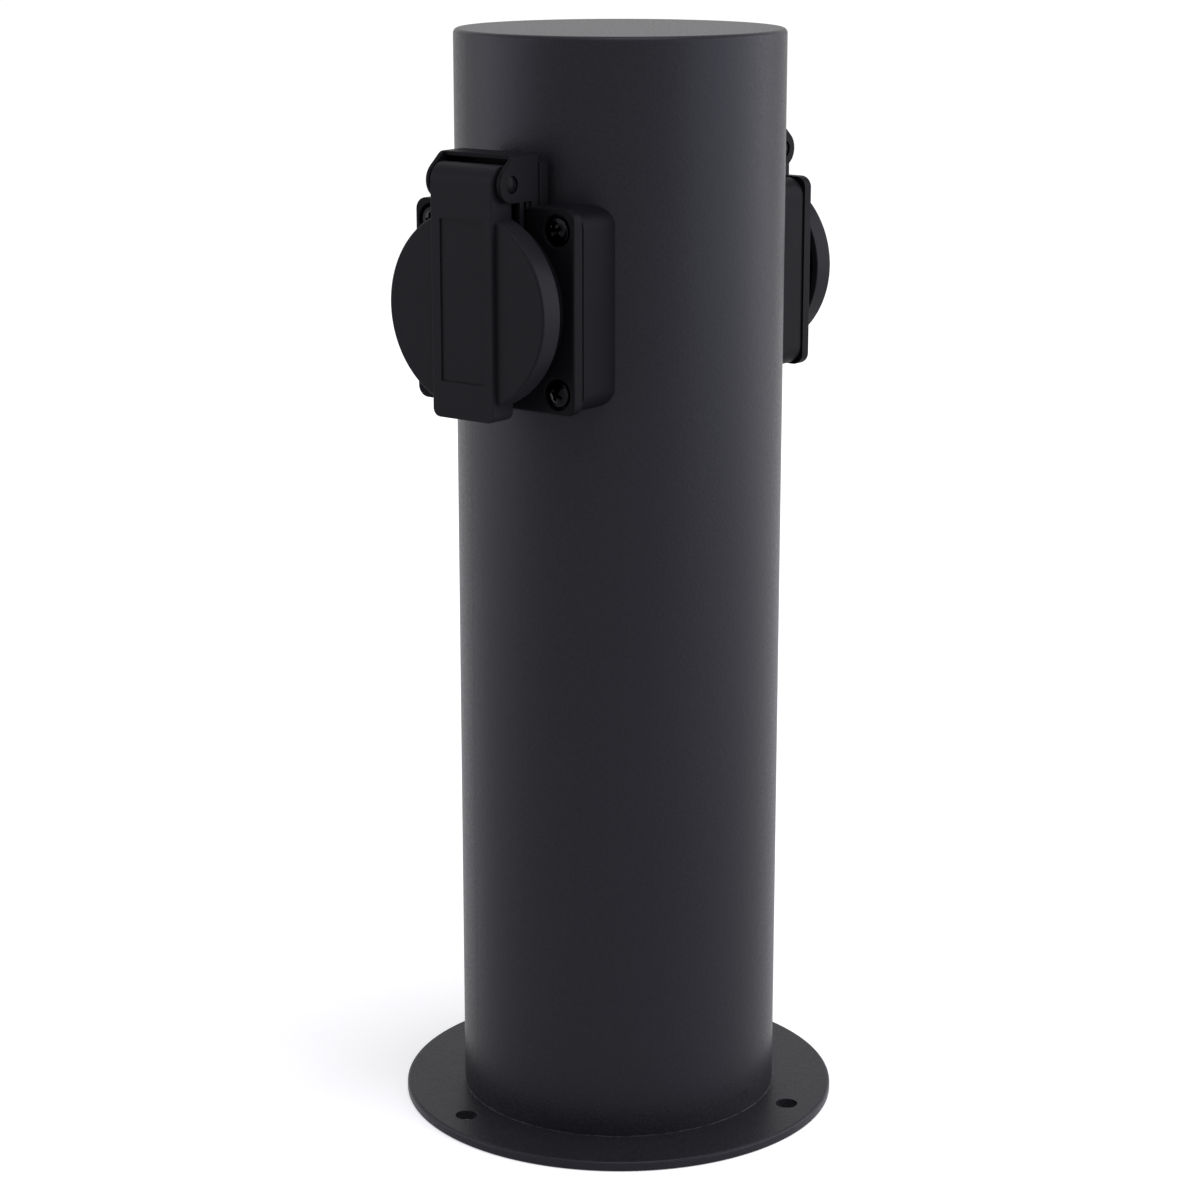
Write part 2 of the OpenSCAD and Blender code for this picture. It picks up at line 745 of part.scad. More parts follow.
// Half outline of the sprung earth strip, in n and z: flat at the back, then a bowed tongue
module earth_tongue_outline() {
    t = earth_strip_t;
    low = earth_tongue_up;
    back = contact_front - t;
    bow_at = (well_bottom + tongue_end) / 2;
    polygon([[back, 0], [back, low + t], [well_bottom, low + t], [bow_at, low + t - tongue_bow],
        [tongue_end, low + t], [tongue_end, low], [bow_at, low - tongue_bow], [well_bottom, low],
        [contact_front, low], [contact_front, 0]]);
}

module earth_clip() {
    half = earth_strip_w / 2;
    color("#c9b37a") difference() {
        union() {
            across(-half, half) {
                earth_tongue_outline();
                mirror([0, 1]) earth_tongue_outline();
            }
            block_at([-terminal_w / 2, terminal_back, -terminal_drop],
                [terminal_w / 2, contact_front, terminal_top]);
        }
        terminal_holes(0);
    }
}

module terminal_screws() {
    tip = terminal_mid - core_r - seat_gap;
    color("#c8c8c8") for (u = [-pin_at, 0, pin_at])
        translate([u, 0, terminal_screw_z]) difference() {
            union() {
                bar_out(terminal_screw_d / 2, terminal_back - terminal_head_h, tip);
                bar_out(terminal_head_d / 2, terminal_back - terminal_head_h, terminal_back);
            }
            block_at([-terminal_head_d, terminal_back - terminal_head_h - cut, -driver_slot / 2],
                [terminal_head_d, terminal_back - terminal_head_h / 2, driver_slot / 2]);
        }
}

// A wire along its route, with a bare end at its start and its finish, upwards where above zero
module bare_end(at, reach) {
    translate(at - [0, 0, sign(reach) * core_lap])
        mirror([0, 0, reach > 0 ? 0 : 1]) cylinder(r = core_r, h = abs(reach) + core_lap);
}

module wire(start, via, finish, start_reach, finish_reach) {
    leaving = [for (lead = wire_leads) start - [0, 0, sign(start_reach) * lead]];
    between = [for (point = via) point + [0, 0, socket_z]];
    arriving = finish - [0, 0, sign(finish_reach) * wire_leads[0]];
    route = concat([start], leaving, between, [arriving, finish]);
    tube(smooth(route, wire_steps), wire_r, wire_sides);
    bare_end(start, start_reach);
    bare_end(finish, finish_reach);
}

// Where a wire ends at a socket's terminal, and on the supply block
function socket_end(u, side) = [side * u, -side * terminal_mid, wire_start_z];
function block_end(pole, side) =
    [bore_x, pole * pole_pitch - side * bore_step, block_z + block_h - wire_end_gap];

module front_line_wire() {
    color("#6b4a2b") wire(socket_end(pin_at, 1), front_line_via, block_end(-1, 1), core_len, -core_len);
}

module front_neutral_wire() {
    color("#2f5fa8") wire(socket_end(-pin_at, 1), front_neutral_via, block_end(1, 1), core_len, -core_len);
}

module front_earth_wire() {
    color("#7aa32f") wire(socket_end(0, 1), front_earth_via, block_end(0, 1), core_len, -core_len);
}

module rear_line_wire() {
    color("#6b4a2b") wire(socket_end(pin_at, -1), rear_line_via, block_end(-1, -1), core_len, -core_len);
}

module rear_neutral_wire() {
    color("#2f5fa8") wire(socket_end(-pin_at, -1), rear_neutral_via, block_end(1, -1), core_len, -core_len);
}

module rear_earth_wire() {
    color("#7aa32f") wire(socket_end(0, -1), rear_earth_via, block_end(0, -1), core_len, -core_len);
}

module post_earth_wire() {
    lug_end = [barrel_x, stud_y, barrel_top - barrel_len - barrel_wire_gap];
    pole_end = [bore_x, bore_step, block_z + wire_end_gap];
    color("#7aa32f") wire(lug_end, post_earth_via, pole_end, barrel_len, core_len);
}

// Heights of the clamp screws at the two ends of each pole
clamp_heights = [block_z + clamp_from_end, block_z + block_h - clamp_from_end];

// The places of the wire bores across the block
bore_places = [for (pole = poles, side = [-1, 1]) pole * pole_pitch + side * bore_step];

module terminal_block() {
    color("#dedacb") difference() {
        translate([block_face, -block_half_w, block_z]) cube([block_depth, 2 * block_half_w, block_h]);
        for (pole = poles)
            translate([insert_face - seat_gap, pole * pole_pitch - insert_w / 2 - seat_gap, block_z - cut])
                cube([insert_depth + 2 * seat_gap, insert_w + 2 * seat_gap, block_h - block_top_wall + cut]);
        for (y = bore_places) {
            translate([bore_x, y, block_z]) cylinder(r = wire_hole_r, h = block_h + cut);
            for (z = clamp_heights) bar_x(clamp_head_d / 2 + pocket_gap, block_face - cut, insert_face, y, z);
        }
        for (side = [-1, 1]) bracket_screw_room(side);
    }
}

module bracket_screw_room(side) {
    y = side * pole_pitch / 2;
    z = block_z + block_h / 2;
    bar_x(bracket_screw_d / 2 + seat_gap, block_face - cut, bracket_in + cut, y, z);
    bar_x(bracket_head_d / 2 + seat_gap, block_face - cut, block_face + bracket_head_h, y, z);
}

module terminal_inserts() {
    color("#b08d57") difference() {
        for (pole = poles)
            translate([insert_face, pole * pole_pitch - insert_w / 2, block_z + seat_gap])
                cube([insert_depth, insert_w, block_h - block_top_wall - 2 * seat_gap]);
        for (y = bore_places) {
            translate([bore_x, y, block_z - cut]) cylinder(r = core_hole_r, h = block_h + cut);
            translate([bore_x, y, block_z - cut]) cylinder(r = wire_hole_r, h = cut + insert_lead_in);
            for (z = clamp_heights) bar_x(clamp_d / 2 + screw_gap, insert_face - cut, bore_x, y, z);
        }
    }
}

module terminal_block_screws() {
    tip = bore_x - core_r - seat_gap;
    color("#c8c8c8") for (y = bore_places, z = clamp_heights) difference() {
        union() {
            bar_x(clamp_d / 2, insert_face - clamp_head_h, tip, y, z);
            bar_x(clamp_head_d / 2, insert_face - clamp_head_h, insert_face - screw_gap, y, z);
        }
        translate([insert_face - clamp_head_h - cut, y - clamp_head_d, z - driver_slot / 2])
            cube([cut + clamp_head_h / 2, 2 * clamp_head_d, driver_slot]);
    }
}

module block_bracket() {
    color("#8d9196") difference() {
        translate([bracket_in, -bracket_half_w, bracket_z])
            cube([bracket_t, 2 * bracket_half_w, bracket_h]);
        for (side = [-1, 1])
            bar_x(bracket_screw_d / 2 + screw_gap, bracket_in - cut, bracket_out + cut,
                side * pole_pitch / 2, block_z + block_h / 2);
    }
}

module bracket_screws() {
    z = block_z + block_h / 2;
    color("#c8c8c8") for (side = [-1, 1]) {
        y = side * pole_pitch / 2;
        difference() {
            union() {
                bar_x(bracket_screw_d / 2, block_face, bracket_out, y, z);
                bar_x(bracket_head_d / 2, block_face, block_face + bracket_head_h - screw_gap, y, z);
            }
            translate([block_face - cut, y - bracket_head_d, z - driver_slot / 2])
                cube([cut + bracket_head_h / 2, 2 * bracket_head_d, driver_slot]);
        }
    }
}

// Stud on the bracket that earths the post, with its nut and a ring lug
module earth_stud() {
    color("#c8c8c8") bar_x(stud_d / 2, bracket_in - stud_len, bracket_in, stud_y, stud_z);
}

module earth_nut() {
    color("#c8c8c8") difference() {
        translate([bracket_in - lug_t - nut_h, stud_y, stud_z]) rotate([0, 90, 0])
            cylinder(d = nut_across / cos(30), h = nut_h, $fn = 6);
        bar_x(stud_d / 2 + screw_gap, bracket_in - stud_len, bracket_in, stud_y, stud_z);
    }
}

module earth_lug() {
    barrel_bottom = barrel_top - barrel_len;
    color("#c9b37a") difference() {
        union() {
            bar_x(lug_r, bracket_in - lug_t, bracket_in, stud_y, stud_z);
            translate([bracket_in - lug_t, stud_y - barrel_r, barrel_bottom])
                cube([lug_t, 2 * barrel_r, stud_z - barrel_bottom]);
            translate([barrel_x, stud_y, barrel_bottom]) cylinder(r = barrel_r, h = barrel_len);
        }
        bar_x(stud_d / 2 + screw_gap, bracket_in - stud_len, bracket_in + cut, stud_y, stud_z);
        translate([barrel_x, stud_y, barrel_bottom - cut])
            cylinder(r = core_r + seat_gap, h = barrel_len + 2 * cut);
    }
}

post_tube();
top_cap();
base_plate();
front() saddle_block();  // front_saddle_block
rear() saddle_block();  // rear_saddle_block
front() flange_gasket();  // front_flange_gasket
rear() flange_gasket();  // rear_flange_gasket
front() socket_housing();  // front_socket_housing
rear() socket_housing();  // rear_socket_housing
front() flange_screws();  // front_flange_screws
rear() flange_screws();  // rear_flange_screws
front() hinge_pin();  // front_hinge_pin
rear() hinge_pin();  // rear_hinge_pin
front() lid_spring();  // front_lid_spring
rear() lid_spring();  // rear_lid_spring
front() lid();  // front_lid
rear() lid();  // rear_lid
front() lid_gasket();  // front_lid_gasket
rear() lid_gasket();  // rear_lid_gasket
front() contact_carrier();  // front_contact_carrier
rear() contact_carrier();  // rear_contact_carrier
front() line_contact();  // front_line_contact
rear() line_contact();  // rear_line_contact
front() neutral_contact();  // front_neutral_contact
rear() neutral_contact();  // rear_neutral_contact
front() earth_clip();  // front_earth_clip
rear() earth_clip();  // rear_earth_clip
front() terminal_screws();  // front_terminal_screws
rear() terminal_screws();  // rear_terminal_screws
front_line_wire();
rear_line_wire();
front_neutral_wire();
rear_neutral_wire();
front_earth_wire();
rear_earth_wire();
terminal_block();
terminal_inserts();
terminal_block_screws();
block_bracket();
bracket_screws();
earth_stud();
earth_nut();
earth_lug();
post_earth_wire();
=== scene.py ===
import math

import bmesh
import bpy
from mathutils import Matrix, Vector


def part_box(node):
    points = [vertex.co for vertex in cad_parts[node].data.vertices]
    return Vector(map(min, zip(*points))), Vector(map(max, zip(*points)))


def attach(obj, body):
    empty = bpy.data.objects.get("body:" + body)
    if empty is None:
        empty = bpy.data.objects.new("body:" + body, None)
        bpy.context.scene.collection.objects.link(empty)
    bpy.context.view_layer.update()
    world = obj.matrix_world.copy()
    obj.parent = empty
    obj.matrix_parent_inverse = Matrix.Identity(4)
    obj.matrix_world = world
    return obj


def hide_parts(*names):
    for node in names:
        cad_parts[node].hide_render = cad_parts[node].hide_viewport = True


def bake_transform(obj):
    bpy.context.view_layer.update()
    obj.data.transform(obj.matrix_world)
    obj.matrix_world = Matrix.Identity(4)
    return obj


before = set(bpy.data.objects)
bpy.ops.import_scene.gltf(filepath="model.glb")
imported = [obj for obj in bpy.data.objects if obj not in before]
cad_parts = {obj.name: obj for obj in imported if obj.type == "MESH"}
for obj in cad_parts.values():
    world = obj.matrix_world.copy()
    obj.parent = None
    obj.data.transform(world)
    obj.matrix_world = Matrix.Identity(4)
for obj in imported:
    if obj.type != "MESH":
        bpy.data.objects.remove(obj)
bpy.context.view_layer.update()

MM = 0.001
scene = bpy.context.scene


# Sizes in millimetres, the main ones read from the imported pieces
def span(name):
    """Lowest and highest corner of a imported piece."""
    low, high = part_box(name)
    return low / MM, high / MM


tube_low, tube_high = span("post_tube")
cap_low, cap_high = span("top_cap")
plate_high = span("base_plate")[1]
block_low, block_high = span("front_saddle_block")
seal_low, seal_high = span("front_flange_gasket")
housing_low, housing_high = span("front_socket_housing")
lid_low, lid_high = span("front_lid")
lid_seal_low, lid_seal_high = span("front_lid_gasket")
pin_low, pin_high = span("front_hinge_pin")

# How far a cutter runs past the face it leaves by, and the same where something stands near
PAST = 5.0
JUST_PAST = 1.0

# Post, cap and foot plate
POST_STEPS = 256
POST_R = tube_high.x
TUBE_WALL = 2.0
TUBE_SCREW_HOLE_R = 1.8
TUBE_HOLE_FROM = 10.0
CAP_ROUND = 1.2
PLATE_R = plate_high.x
PLATE_T = plate_high.z
PLATE_ROUND = 0.8
PLATE_UNDER_ROUND = 0.3
CABLE_HOLE_R = 33.0
ANCHOR_CIRCLE_R = 47.0
ANCHOR_HOLE_R = 2.75
ANCHOR_TURN = 13.0
ANCHOR_COUNT = 3
ANCHOR_LIP = 0.15
WELD_LEG = 0.17
WELD_BURIED = 0.2
# Lumps of the weld: share of its leg, number round the tube, start in radians
WELD_LUMPS = ((0.35, 23, 0), (0.3, 61, 1), (0.2, 97, 2))

# Flange, block, seal and plug well
FLANGE_HALF = housing_high.x
SOCKET_Z = housing_low.z + FLANGE_HALF
FLANGE_BACK = -seal_low.y
FLANGE_T = 3.0
FLANGE_FRONT = FLANGE_BACK + FLANGE_T
FLANGE_ROUND = 2.8
FLANGE_EDGE = 0.5
NEAR_FRONT = 0.5
BLOCK_HALF = block_high.x
BLOCK_FRONT = -block_low.y
BLOCK_ROUND = 4.6
BLOCK_EDGE = 0.2
BLOCK_DEPTH = 12.0
SEAL_HALF = seal_high.x
SEAL_EDGE = 0.12
TAB_CORNER = 1.5
TAB_EDGE = 0.3
TAB_STEP = 0.3
TAB_TUBE_GAP = 1.0
SEAT_GAP = 0.1
WELL_R = 19.5
WELL_BOTTOM = 37.1
WELL_FLOOR_T = 2.0
WELL_BITE = 0.6
DRILL_FROM = 30.0
COLLAR_R = 20.7
COLLAR_FRONT = 54.6
SKIRT_LEN = 4.0
BODY_HOLE_R = 21.5
GUIDE_HALF = 2.7
GUIDE_DEPTH = 1.8
GUIDE_EDGE = 0.35
PIN_HOLE_AT = 9.5
PIN_HOLE_R = 2.6
EARTH_SLOT_HALF = 3.2
EARTH_SLOT = (17.0, 18.2)
SCREW_AT = 18.75
SCREW_HOLE_R = 2.0
SCREW_SEAT = FLANGE_FRONT - 1.4
SCREW_WELL_R = 3.7

# Hinge
HINGE_OUT = -(pin_low.y + pin_high.y) / 2
HINGE_UP = (pin_low.z + pin_high.z) / 2 - SOCKET_Z
HINGE_TOP = housing_high.z - SOCKET_Z
EAR_OUT = pin_high.x
BLOCK_TAB_TOP = block_high.z - SOCKET_Z
SEAL_TAB_TOP = seal_high.z - SOCKET_Z
EAR_T = 1.2
EAR_R = 4.3
EAR_CORNER = 2.4
EAR_LEAN = 1.8
EAR_EDGE = 0.25
BACK_WALL_FRONT = FLANGE_FRONT + 0.7
HOOD_T = 1.1
HOOD_FRONT = HINGE_OUT - 1.2
RIB_BACK = 50.2
RIB_FRONT = 51.7
RIB_FOOT = 17.0
RIB_EDGE = 0.2
PIN_R = 1.4
PIN_HEAD_R = 1.95
PIN_HEAD_T = 0.8
PIN_DOME = 0.4
PIN_ROOM = 0.05
PIN_HEAD_ROOM = 0.12

# Lid and its spring
LID_R = lid_high.x
STRAP_FRONT = -lid_low.y
STRAP_PROUD = 1.2
STRAP_HALF = 9.15
STRAP_EDGE = 0.35
LID_FRONT = STRAP_FRONT - STRAP_PROUD
LID_BACK = LID_FRONT - 6.1
LID_WALL = 1.5
LID_ROUND = 0.6
LID_BACK_ROUND = 0.3
LID_IN_R = LID_R - LID_WALL
LID_INSIDE = LID_FRONT - LID_WALL
TAB_BOTTOM = lid_low.z - SOCKET_Z
TAB_ROUND = 2.0
KNUCKLE_R = 4.3
KNUCKLE_ROOM = 0.06
KNUCKLE_OUT = STRAP_FRONT - KNUCKLE_R
PANEL_HALF = 6.4
PANEL_BOTTOM = -16.6
PANEL_TOP = 21.0
PANEL_DEPTH = 0.4
SPRING_R = 2.5
SPRING_WIRE_R = 0.4
SPRING_TURNS = 5
SPRING_PITCH = 1.35
SPRING_LEG = 5.0
SPRING_LEG_ROOM = 0.75
SPRING_POCKET_R = 3.25
SPRING_POCKET_HALF = 4.3


# Small helpers for nodes, colours and meshes
def colour(hex_value):
    """A linear colour from an sRGB hex value such as 2b2b2e."""
    parts = [int(hex_value[i:i + 2], 16) / 255 for i in (0, 2, 4)]
    return [p / 12.92 if p <= 0.04045 else ((p + 0.055) / 1.055) ** 2.4 for p in parts] + [1.0]


def add(tree, kind, inputs=None, **settings):
    """Adds a node with its settings; inputs maps a socket to a value or to another node's output.
    A socket goes by its name, or by its number where names repeat: a mix takes its factor in 0 and
    its colours in 6 and 7, a map range its value in 0, its old limits in 1 and 2, its new in 3 and 4."""
    made = tree.nodes.new(kind)
    for name, value in settings.items():
        setattr(made, name, value)
    for socket, value in (inputs or {}).items():
        if isinstance(value, bpy.types.NodeSocket):
            tree.links.new(value, made.inputs[socket])
        else:
            made.inputs[socket].default_value = value
    return made


def new_material(name):
    """An empty material with its tree, its surface shader, and the piece's own coordinates in metres."""
    material = bpy.data.materials.new(name)
    material.use_nodes = True
    tree = material.node_tree
    shader = tree.nodes["Principled BSDF"]
    place = add(tree, "ShaderNodeTexCoord").outputs["Object"]
    return material, tree, shader, place


def per_metre(size_mm):
    """Texture scale for a feature of a size in millimetres."""
    return 1 / (size_mm * MM)


# Sides of the post, with the sign that turns the front's places to the rear
SIDES = {"front": 1, "rear": -1}


def in_socket(u, n, z):
    return Vector((u, -n, z))


def upright(x, y, z):
    return Vector((x, y, z))


def arc(centre, r, start, end, steps):
    """Points on an arc, with angles in degrees."""
    turns = [math.radians(start + (end - start) * i / steps) for i in range(steps + 1)]
    return [(centre[0] + r * math.cos(t), centre[1] + r * math.sin(t)) for t in turns]


def round_square(half, r, steps=10):
    c = half - r
    corners = [((c, c), 0), ((-c, c), 90), ((-c, -c), 180), ((c, -c), 270)]
    return [p for centre, start in corners for p in arc(centre, r, start, start + 90, steps)]


def prism(points, low, high, place):
    """A closed outline made solid between two levels; place turns (point, level) into space."""
    bm = bmesh.new()
    rings = [[bm.verts.new(place(a, b, level)) for a, b in points] for level in (low, high)]
    bm.faces.new(rings[0])
    bm.faces.new(reversed(rings[1]))
    for i in range(len(points)):
        k = (i + 1) % len(points)
        bm.faces.new((rings[0][i], rings[0][k], rings[1][k], rings[1][i]))
    bmesh.ops.recalc_face_normals(bm, faces=bm.faces)
    return bm


def outwards(points, n0, n1):
    """An outline in u and z, made solid from n0 out to n1."""
    return prism(points, n0, n1, lambda u, z, n: in_socket(u, n, z))


def across(points, u0, u1):
    """An outline in n and z, made solid from u0 across to u1."""
    return prism(points, u0, u1, lambda n, z, u: in_socket(u, n, z))


def turned(profile, place, steps=160, closed=False):
    """A profile of (radius, height) turned about an axis; place turns (a, b, height) into space."""
    bm = bmesh.new()
    rings = []
    for r, h in profile:
        if r == 0:
            rings.append([bm.verts.new(place(0, 0, h))] * steps)
            continue
        turns = [2 * math.pi * i / steps for i in range(steps)]
        rings.append([bm.verts.new(place(r * math.cos(t), r * math.sin(t), h)) for t in turns])
    pairs = list(zip(rings, rings[1:]))
    if closed:
        pairs.append((rings[-1], rings[0]))
    for a, b in pairs:
        for i in range(steps):
            k = (i + 1) % steps
            corners = list(dict.fromkeys((a[i], a[k], b[k], b[i])))
            if len(corners) > 2:
                bm.faces.new(corners)
    bmesh.ops.recalc_face_normals(bm, faces=bm.faces)
    return bm


def turned_out(profile, steps=160, closed=False):
    """A profile of (radius, n) turned about the socket's centre line."""
    return turned(profile, lambda a, b, n: in_socket(a, n, b), steps, closed)


def turned_pin(profile, steps=48, closed=False):
    """A profile of (radius, u) turned about the hinge pin's line."""
    return turned(profile, lambda a, b, u: in_socket(u, HINGE_OUT + a, HINGE_UP + b), steps, closed)


def bar(r, low, high):
    """Profile of a plain round bar."""
    return [(0, low), (r, low), (r, high), (0, high)]


def box(low, high):
    """A block given by two corners in u, n and z."""
    outline = [(low[0], low[2]), (high[0], low[2]), (high[0], high[2]), (low[0], high[2])]
    return outwards(outline, low[1], high[1])


def moved(bm, u=0, z=0):
    bmesh.ops.translate(bm, verts=bm.verts, vec=(u, 0, z))
    return bm


def soften(bm, width, segments=3, least_angle=30, keep=None):
    """Rounds the edges that are sharper than an angle, where keep says so of the edge's middle."""
    chosen = []
    for edge in bm.edges:
        if len(edge.link_faces) != 2 or edge.calc_face_angle(0) < math.radians(least_angle):
            continue
        middle = (edge.verts[0].co + edge.verts[1].co) / 2
        if keep is None or keep(middle):
            chosen.append(edge)
    bmesh.ops.bevel(bm, geom=chosen, offset=width, offset_type="OFFSET", segments=segments,
                    profile=0.5, affect="EDGES", clamp_overlap=True)
    return bm


def as_object(bm, name="shape"):
    mesh = bpy.data.meshes.new(name)
    bm.to_mesh(mesh)
    bm.free()
    made = bpy.data.objects.new(name, mesh)
    scene.collection.objects.link(made)
    return made


def settle(obj):
    """Turns an object with its modifiers into a plain mesh."""
    evaluated = obj.evaluated_get(bpy.context.evaluated_depsgraph_get())
    mesh = bpy.data.meshes.new_from_object(evaluated)
    obj.modifiers.clear()
    obj.data = mesh
    return obj


def grow(obj, tree, values):
    """Runs a Geometry Nodes tree on an object with named inputs, and keeps the mesh that it makes."""
    step = obj.modifiers.new("grow", "NODES")
    step.node_group = tree
    for item in tree.interface.items_tree:
        if item.name in values:
            step[item.identifier] = values[item.name]
    return settle(obj)


def worked(obj, tools, operation):
    """Joins tools to an object, or cuts them out of it."""
    others = [as_object(bm) for bm in tools]
    for other in others:
        step = obj.modifiers.new("work", "BOOLEAN")
        step.object = other
        step.operation = operation
        step.solver = "EXACT"
    settle(obj)
    for other in others:
        bpy.data.objects.remove(other)
    return obj


def joined(obj, *tools):
    return worked(obj, tools, "UNION")


def carved(obj, *tools):
    return worked(obj, tools, "DIFFERENCE")


def smooth(obj, sharp_angle=32):
    """Smooth shading with crisp edges, flat faces staying flat."""
    bm = bmesh.new()
    bm.from_mesh(obj.data)
    bmesh.ops.remove_doubles(bm, verts=bm.verts, dist=1e-4)
    bmesh.ops.dissolve_degenerate(bm, edges=bm.edges, dist=1e-4)
    # Cutting can drop thin triangles, which are filled again
    slivers = [edge for edge in bm.edges if edge.is_boundary]
    if slivers:
        bmesh.ops.holes_fill(bm, edges=slivers, sides=4)
        bmesh.ops.recalc_face_normals(bm, faces=bm.faces)
    bm.to_mesh(obj.data)
    bm.free()
    obj.data.shade_smooth()
    obj.data.set_sharp_from_angle(angle=math.radians(sharp_angle))
    even = obj.modifiers.new("even", "WEIGHTED_NORMAL")
    even.keep_sharp = True
    even.weight = 80
    return settle(obj)


def dress(obj, name, material):
    """Names a piece and gives it its material."""
    obj.name = obj.data.name = name
    obj.data.materials.clear()
    obj.data.materials.append(material)


def place_post(obj, name, material, replaced=True):
    """Sets a piece drawn on the post's axis down in metres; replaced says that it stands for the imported
    piece of its name."""
    obj.data.transform(Matrix.Scale(MM, 4))
    dress(obj, name, material)
    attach(obj, "post")
    if replaced:
        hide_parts(name)


def set_at_socket(obj):
    """Sets a piece drawn round the sockets' height down in metres."""
    obj.data.transform(Matrix.Scale(MM, 4) @ Matrix.Translation((0, 0, SOCKET_Z)))


def front_and_rear(obj):
    """Sets a socket piece down at the front of the post, and its twin at the rear."""
    set_at_socket(obj)
    twin = obj.copy()
    twin.data = obj.data.copy()
    twin.data.transform(Matrix.Rotation(math.pi, 4, "Z"))
    scene.collection.objects.link(twin)
    return (obj, "front"), (twin, "rear")


def place_sockets(obj, name, material, moving=False):
    """Sets a piece down on both sockets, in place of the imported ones; it rides on the post or the lids."""
    for made, side in front_and_rear(obj):
        dress(made, f"{side}_{name}", material)
        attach(made, f"{side}_lid_body" if moving else "post")
        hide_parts(f"{side}_{name}")


# Materials
def powder_coat():
    """Polyester powder coat on steel, sprayed and baked: a fine matt grain that scatters its gloss,
    so that light slides over it in soft broad bands."""
    material, tree, shader, place = new_material("powder_coat_steel")
    # Powder grains are finer than this: drawn coarser, to show at all
    grain = add(tree, "ShaderNodeTexNoise", {"Vector": place, "Scale": per_metre(0.65), "Detail": 3.0})
    peel = add(tree, "ShaderNodeTexNoise", {"Vector": place, "Scale": per_metre(2.4), "Detail": 2.0})
    drift = add(tree, "ShaderNodeTexNoise", {"Vector": place, "Scale": per_metre(45), "Detail": 2.0})
    tone = add(tree, "ShaderNodeMix", {0: drift.outputs["Fac"], 6: colour("18181b"), 7: colour("1c1c1f")},
               data_type="RGBA")
    fleck = add(tree, "ShaderNodeMapRange", {0: grain.outputs["Fac"], 1: 0.35, 2: 0.75, 3: 0.0, 4: 0.35})
    flecked = add(tree, "ShaderNodeMix", {0: fleck.outputs[0], 6: tone.outputs[2], 7: colour("26262b")},
                  data_type="RGBA")
    gloss = add(tree, "ShaderNodeMapRange", {0: grain.outputs["Fac"], 1: 0.3, 2: 0.7, 3: 0.34, 4: 0.46})
    soft = add(tree, "ShaderNodeBump",
               {"Height": peel.outputs["Fac"], "Strength": 0.16, "Distance": 0.2 * MM})
    fine = add(tree, "ShaderNodeBump", {"Height": grain.outputs["Fac"], "Strength": 0.3,
                                        "Distance": 0.12 * MM, "Normal": soft.outputs[0]})
    tree.links.new(flecked.outputs[2], shader.inputs["Base Color"])
    tree.links.new(gloss.outputs[0], shader.inputs["Roughness"])
    tree.links.new(fine.outputs[0], shader.inputs["Normal"])
    shader.inputs["Specular IOR Level"].default_value = 0.14
    shader.inputs["Specular Tint"].default_value = colour("ededff")
    return material


def moulded_black(name, low, high, specular):
    """Black polyamide, injection moulded in a spark-eroded tool: a near-black satin skin with a very fine
    grain."""
    material, tree, shader, place = new_material(name)
    # Sparks leave a finer grain than this: drawn coarser, to show at all
    grain = add(tree, "ShaderNodeTexNoise", {"Vector": place, "Scale": per_metre(0.4), "Detail": 2.0})
    flow = add(tree, "ShaderNodeTexNoise", {"Vector": place, "Scale": per_metre(14), "Detail": 3.0})
    tone = add(tree, "ShaderNodeMix", {0: flow.outputs["Fac"], 6: colour(low), 7: colour(high)},
               data_type="RGBA")
    gloss = add(tree, "ShaderNodeMapRange", {0: flow.outputs["Fac"], 1: 0.3, 2: 0.7, 3: 0.36, 4: 0.44})
    skin = add(tree, "ShaderNodeBump",
               {"Height": grain.outputs["Fac"], "Strength": 0.12, "Distance": 0.06 * MM})
    tree.links.new(tone.outputs[2], shader.inputs["Base Color"])
    tree.links.new(gloss.outputs[0], shader.inputs["Roughness"])
    tree.links.new(skin.outputs[0], shader.inputs["Normal"])
    shader.inputs["Specular IOR Level"].default_value = specular
    return material


def plain_finish(name, low, high, patch_mm, rough, metal=0.0, specular=0.5, bump=0.1):
    """A finish whose tone and gloss wander between two values over patches of a given size."""
    material, tree, shader, place = new_material(name)
    patch = add(tree, "ShaderNodeTexNoise", {"Vector": place, "Scale": per_metre(patch_mm), "Detail": 3.0})
    tone = add(tree, "ShaderNodeMix", {0: patch.outputs["Fac"], 6: colour(low), 7: colour(high)},
               data_type="RGBA")
    gloss = add(tree, "ShaderNodeMapRange",
                {0: patch.outputs["Fac"], 1: 0.3, 2: 0.7, 3: rough[0], 4: rough[1]})
    skin = add(tree, "ShaderNodeBump",
               {"Height": patch.outputs["Fac"], "Strength": bump, "Distance": 0.05 * MM})
    tree.links.new(tone.outputs[2], shader.inputs["Base Color"])
    tree.links.new(gloss.outputs[0], shader.inputs["Roughness"])
    tree.links.new(skin.outputs[0], shader.inputs["Normal"])
    shader.inputs["Metallic"].default_value = metal
    shader.inputs["Specular IOR Level"].default_value = specular
    return material


def earth_cover():
    """PVC wire cover in the two earth colours, extruded together: a yellow band along a green cover."""
    material, tree, shader, _ = new_material("earth_wire_pvc")
    around = add(tree, "ShaderNodeAttribute", attribute_name="around")
    band = add(tree, "ShaderNodeMath", {0: around.outputs["Fac"], 1: 0.5}, operation="PINGPONG")
    stripe = add(tree, "ShaderNodeMath", {0: band.outputs[0], 1: 0.28}, operation="GREATER_THAN")
    tone = add(tree, "ShaderNodeMix", {0: stripe.outputs[0], 6: colour("3f8a35"), 7: colour("d9c31c")},
               data_type="RGBA")
    tree.links.new(tone.outputs[2], shader.inputs["Base Color"])
    shader.inputs["Roughness"].default_value = 0.38
    return material


coat = powder_coat()
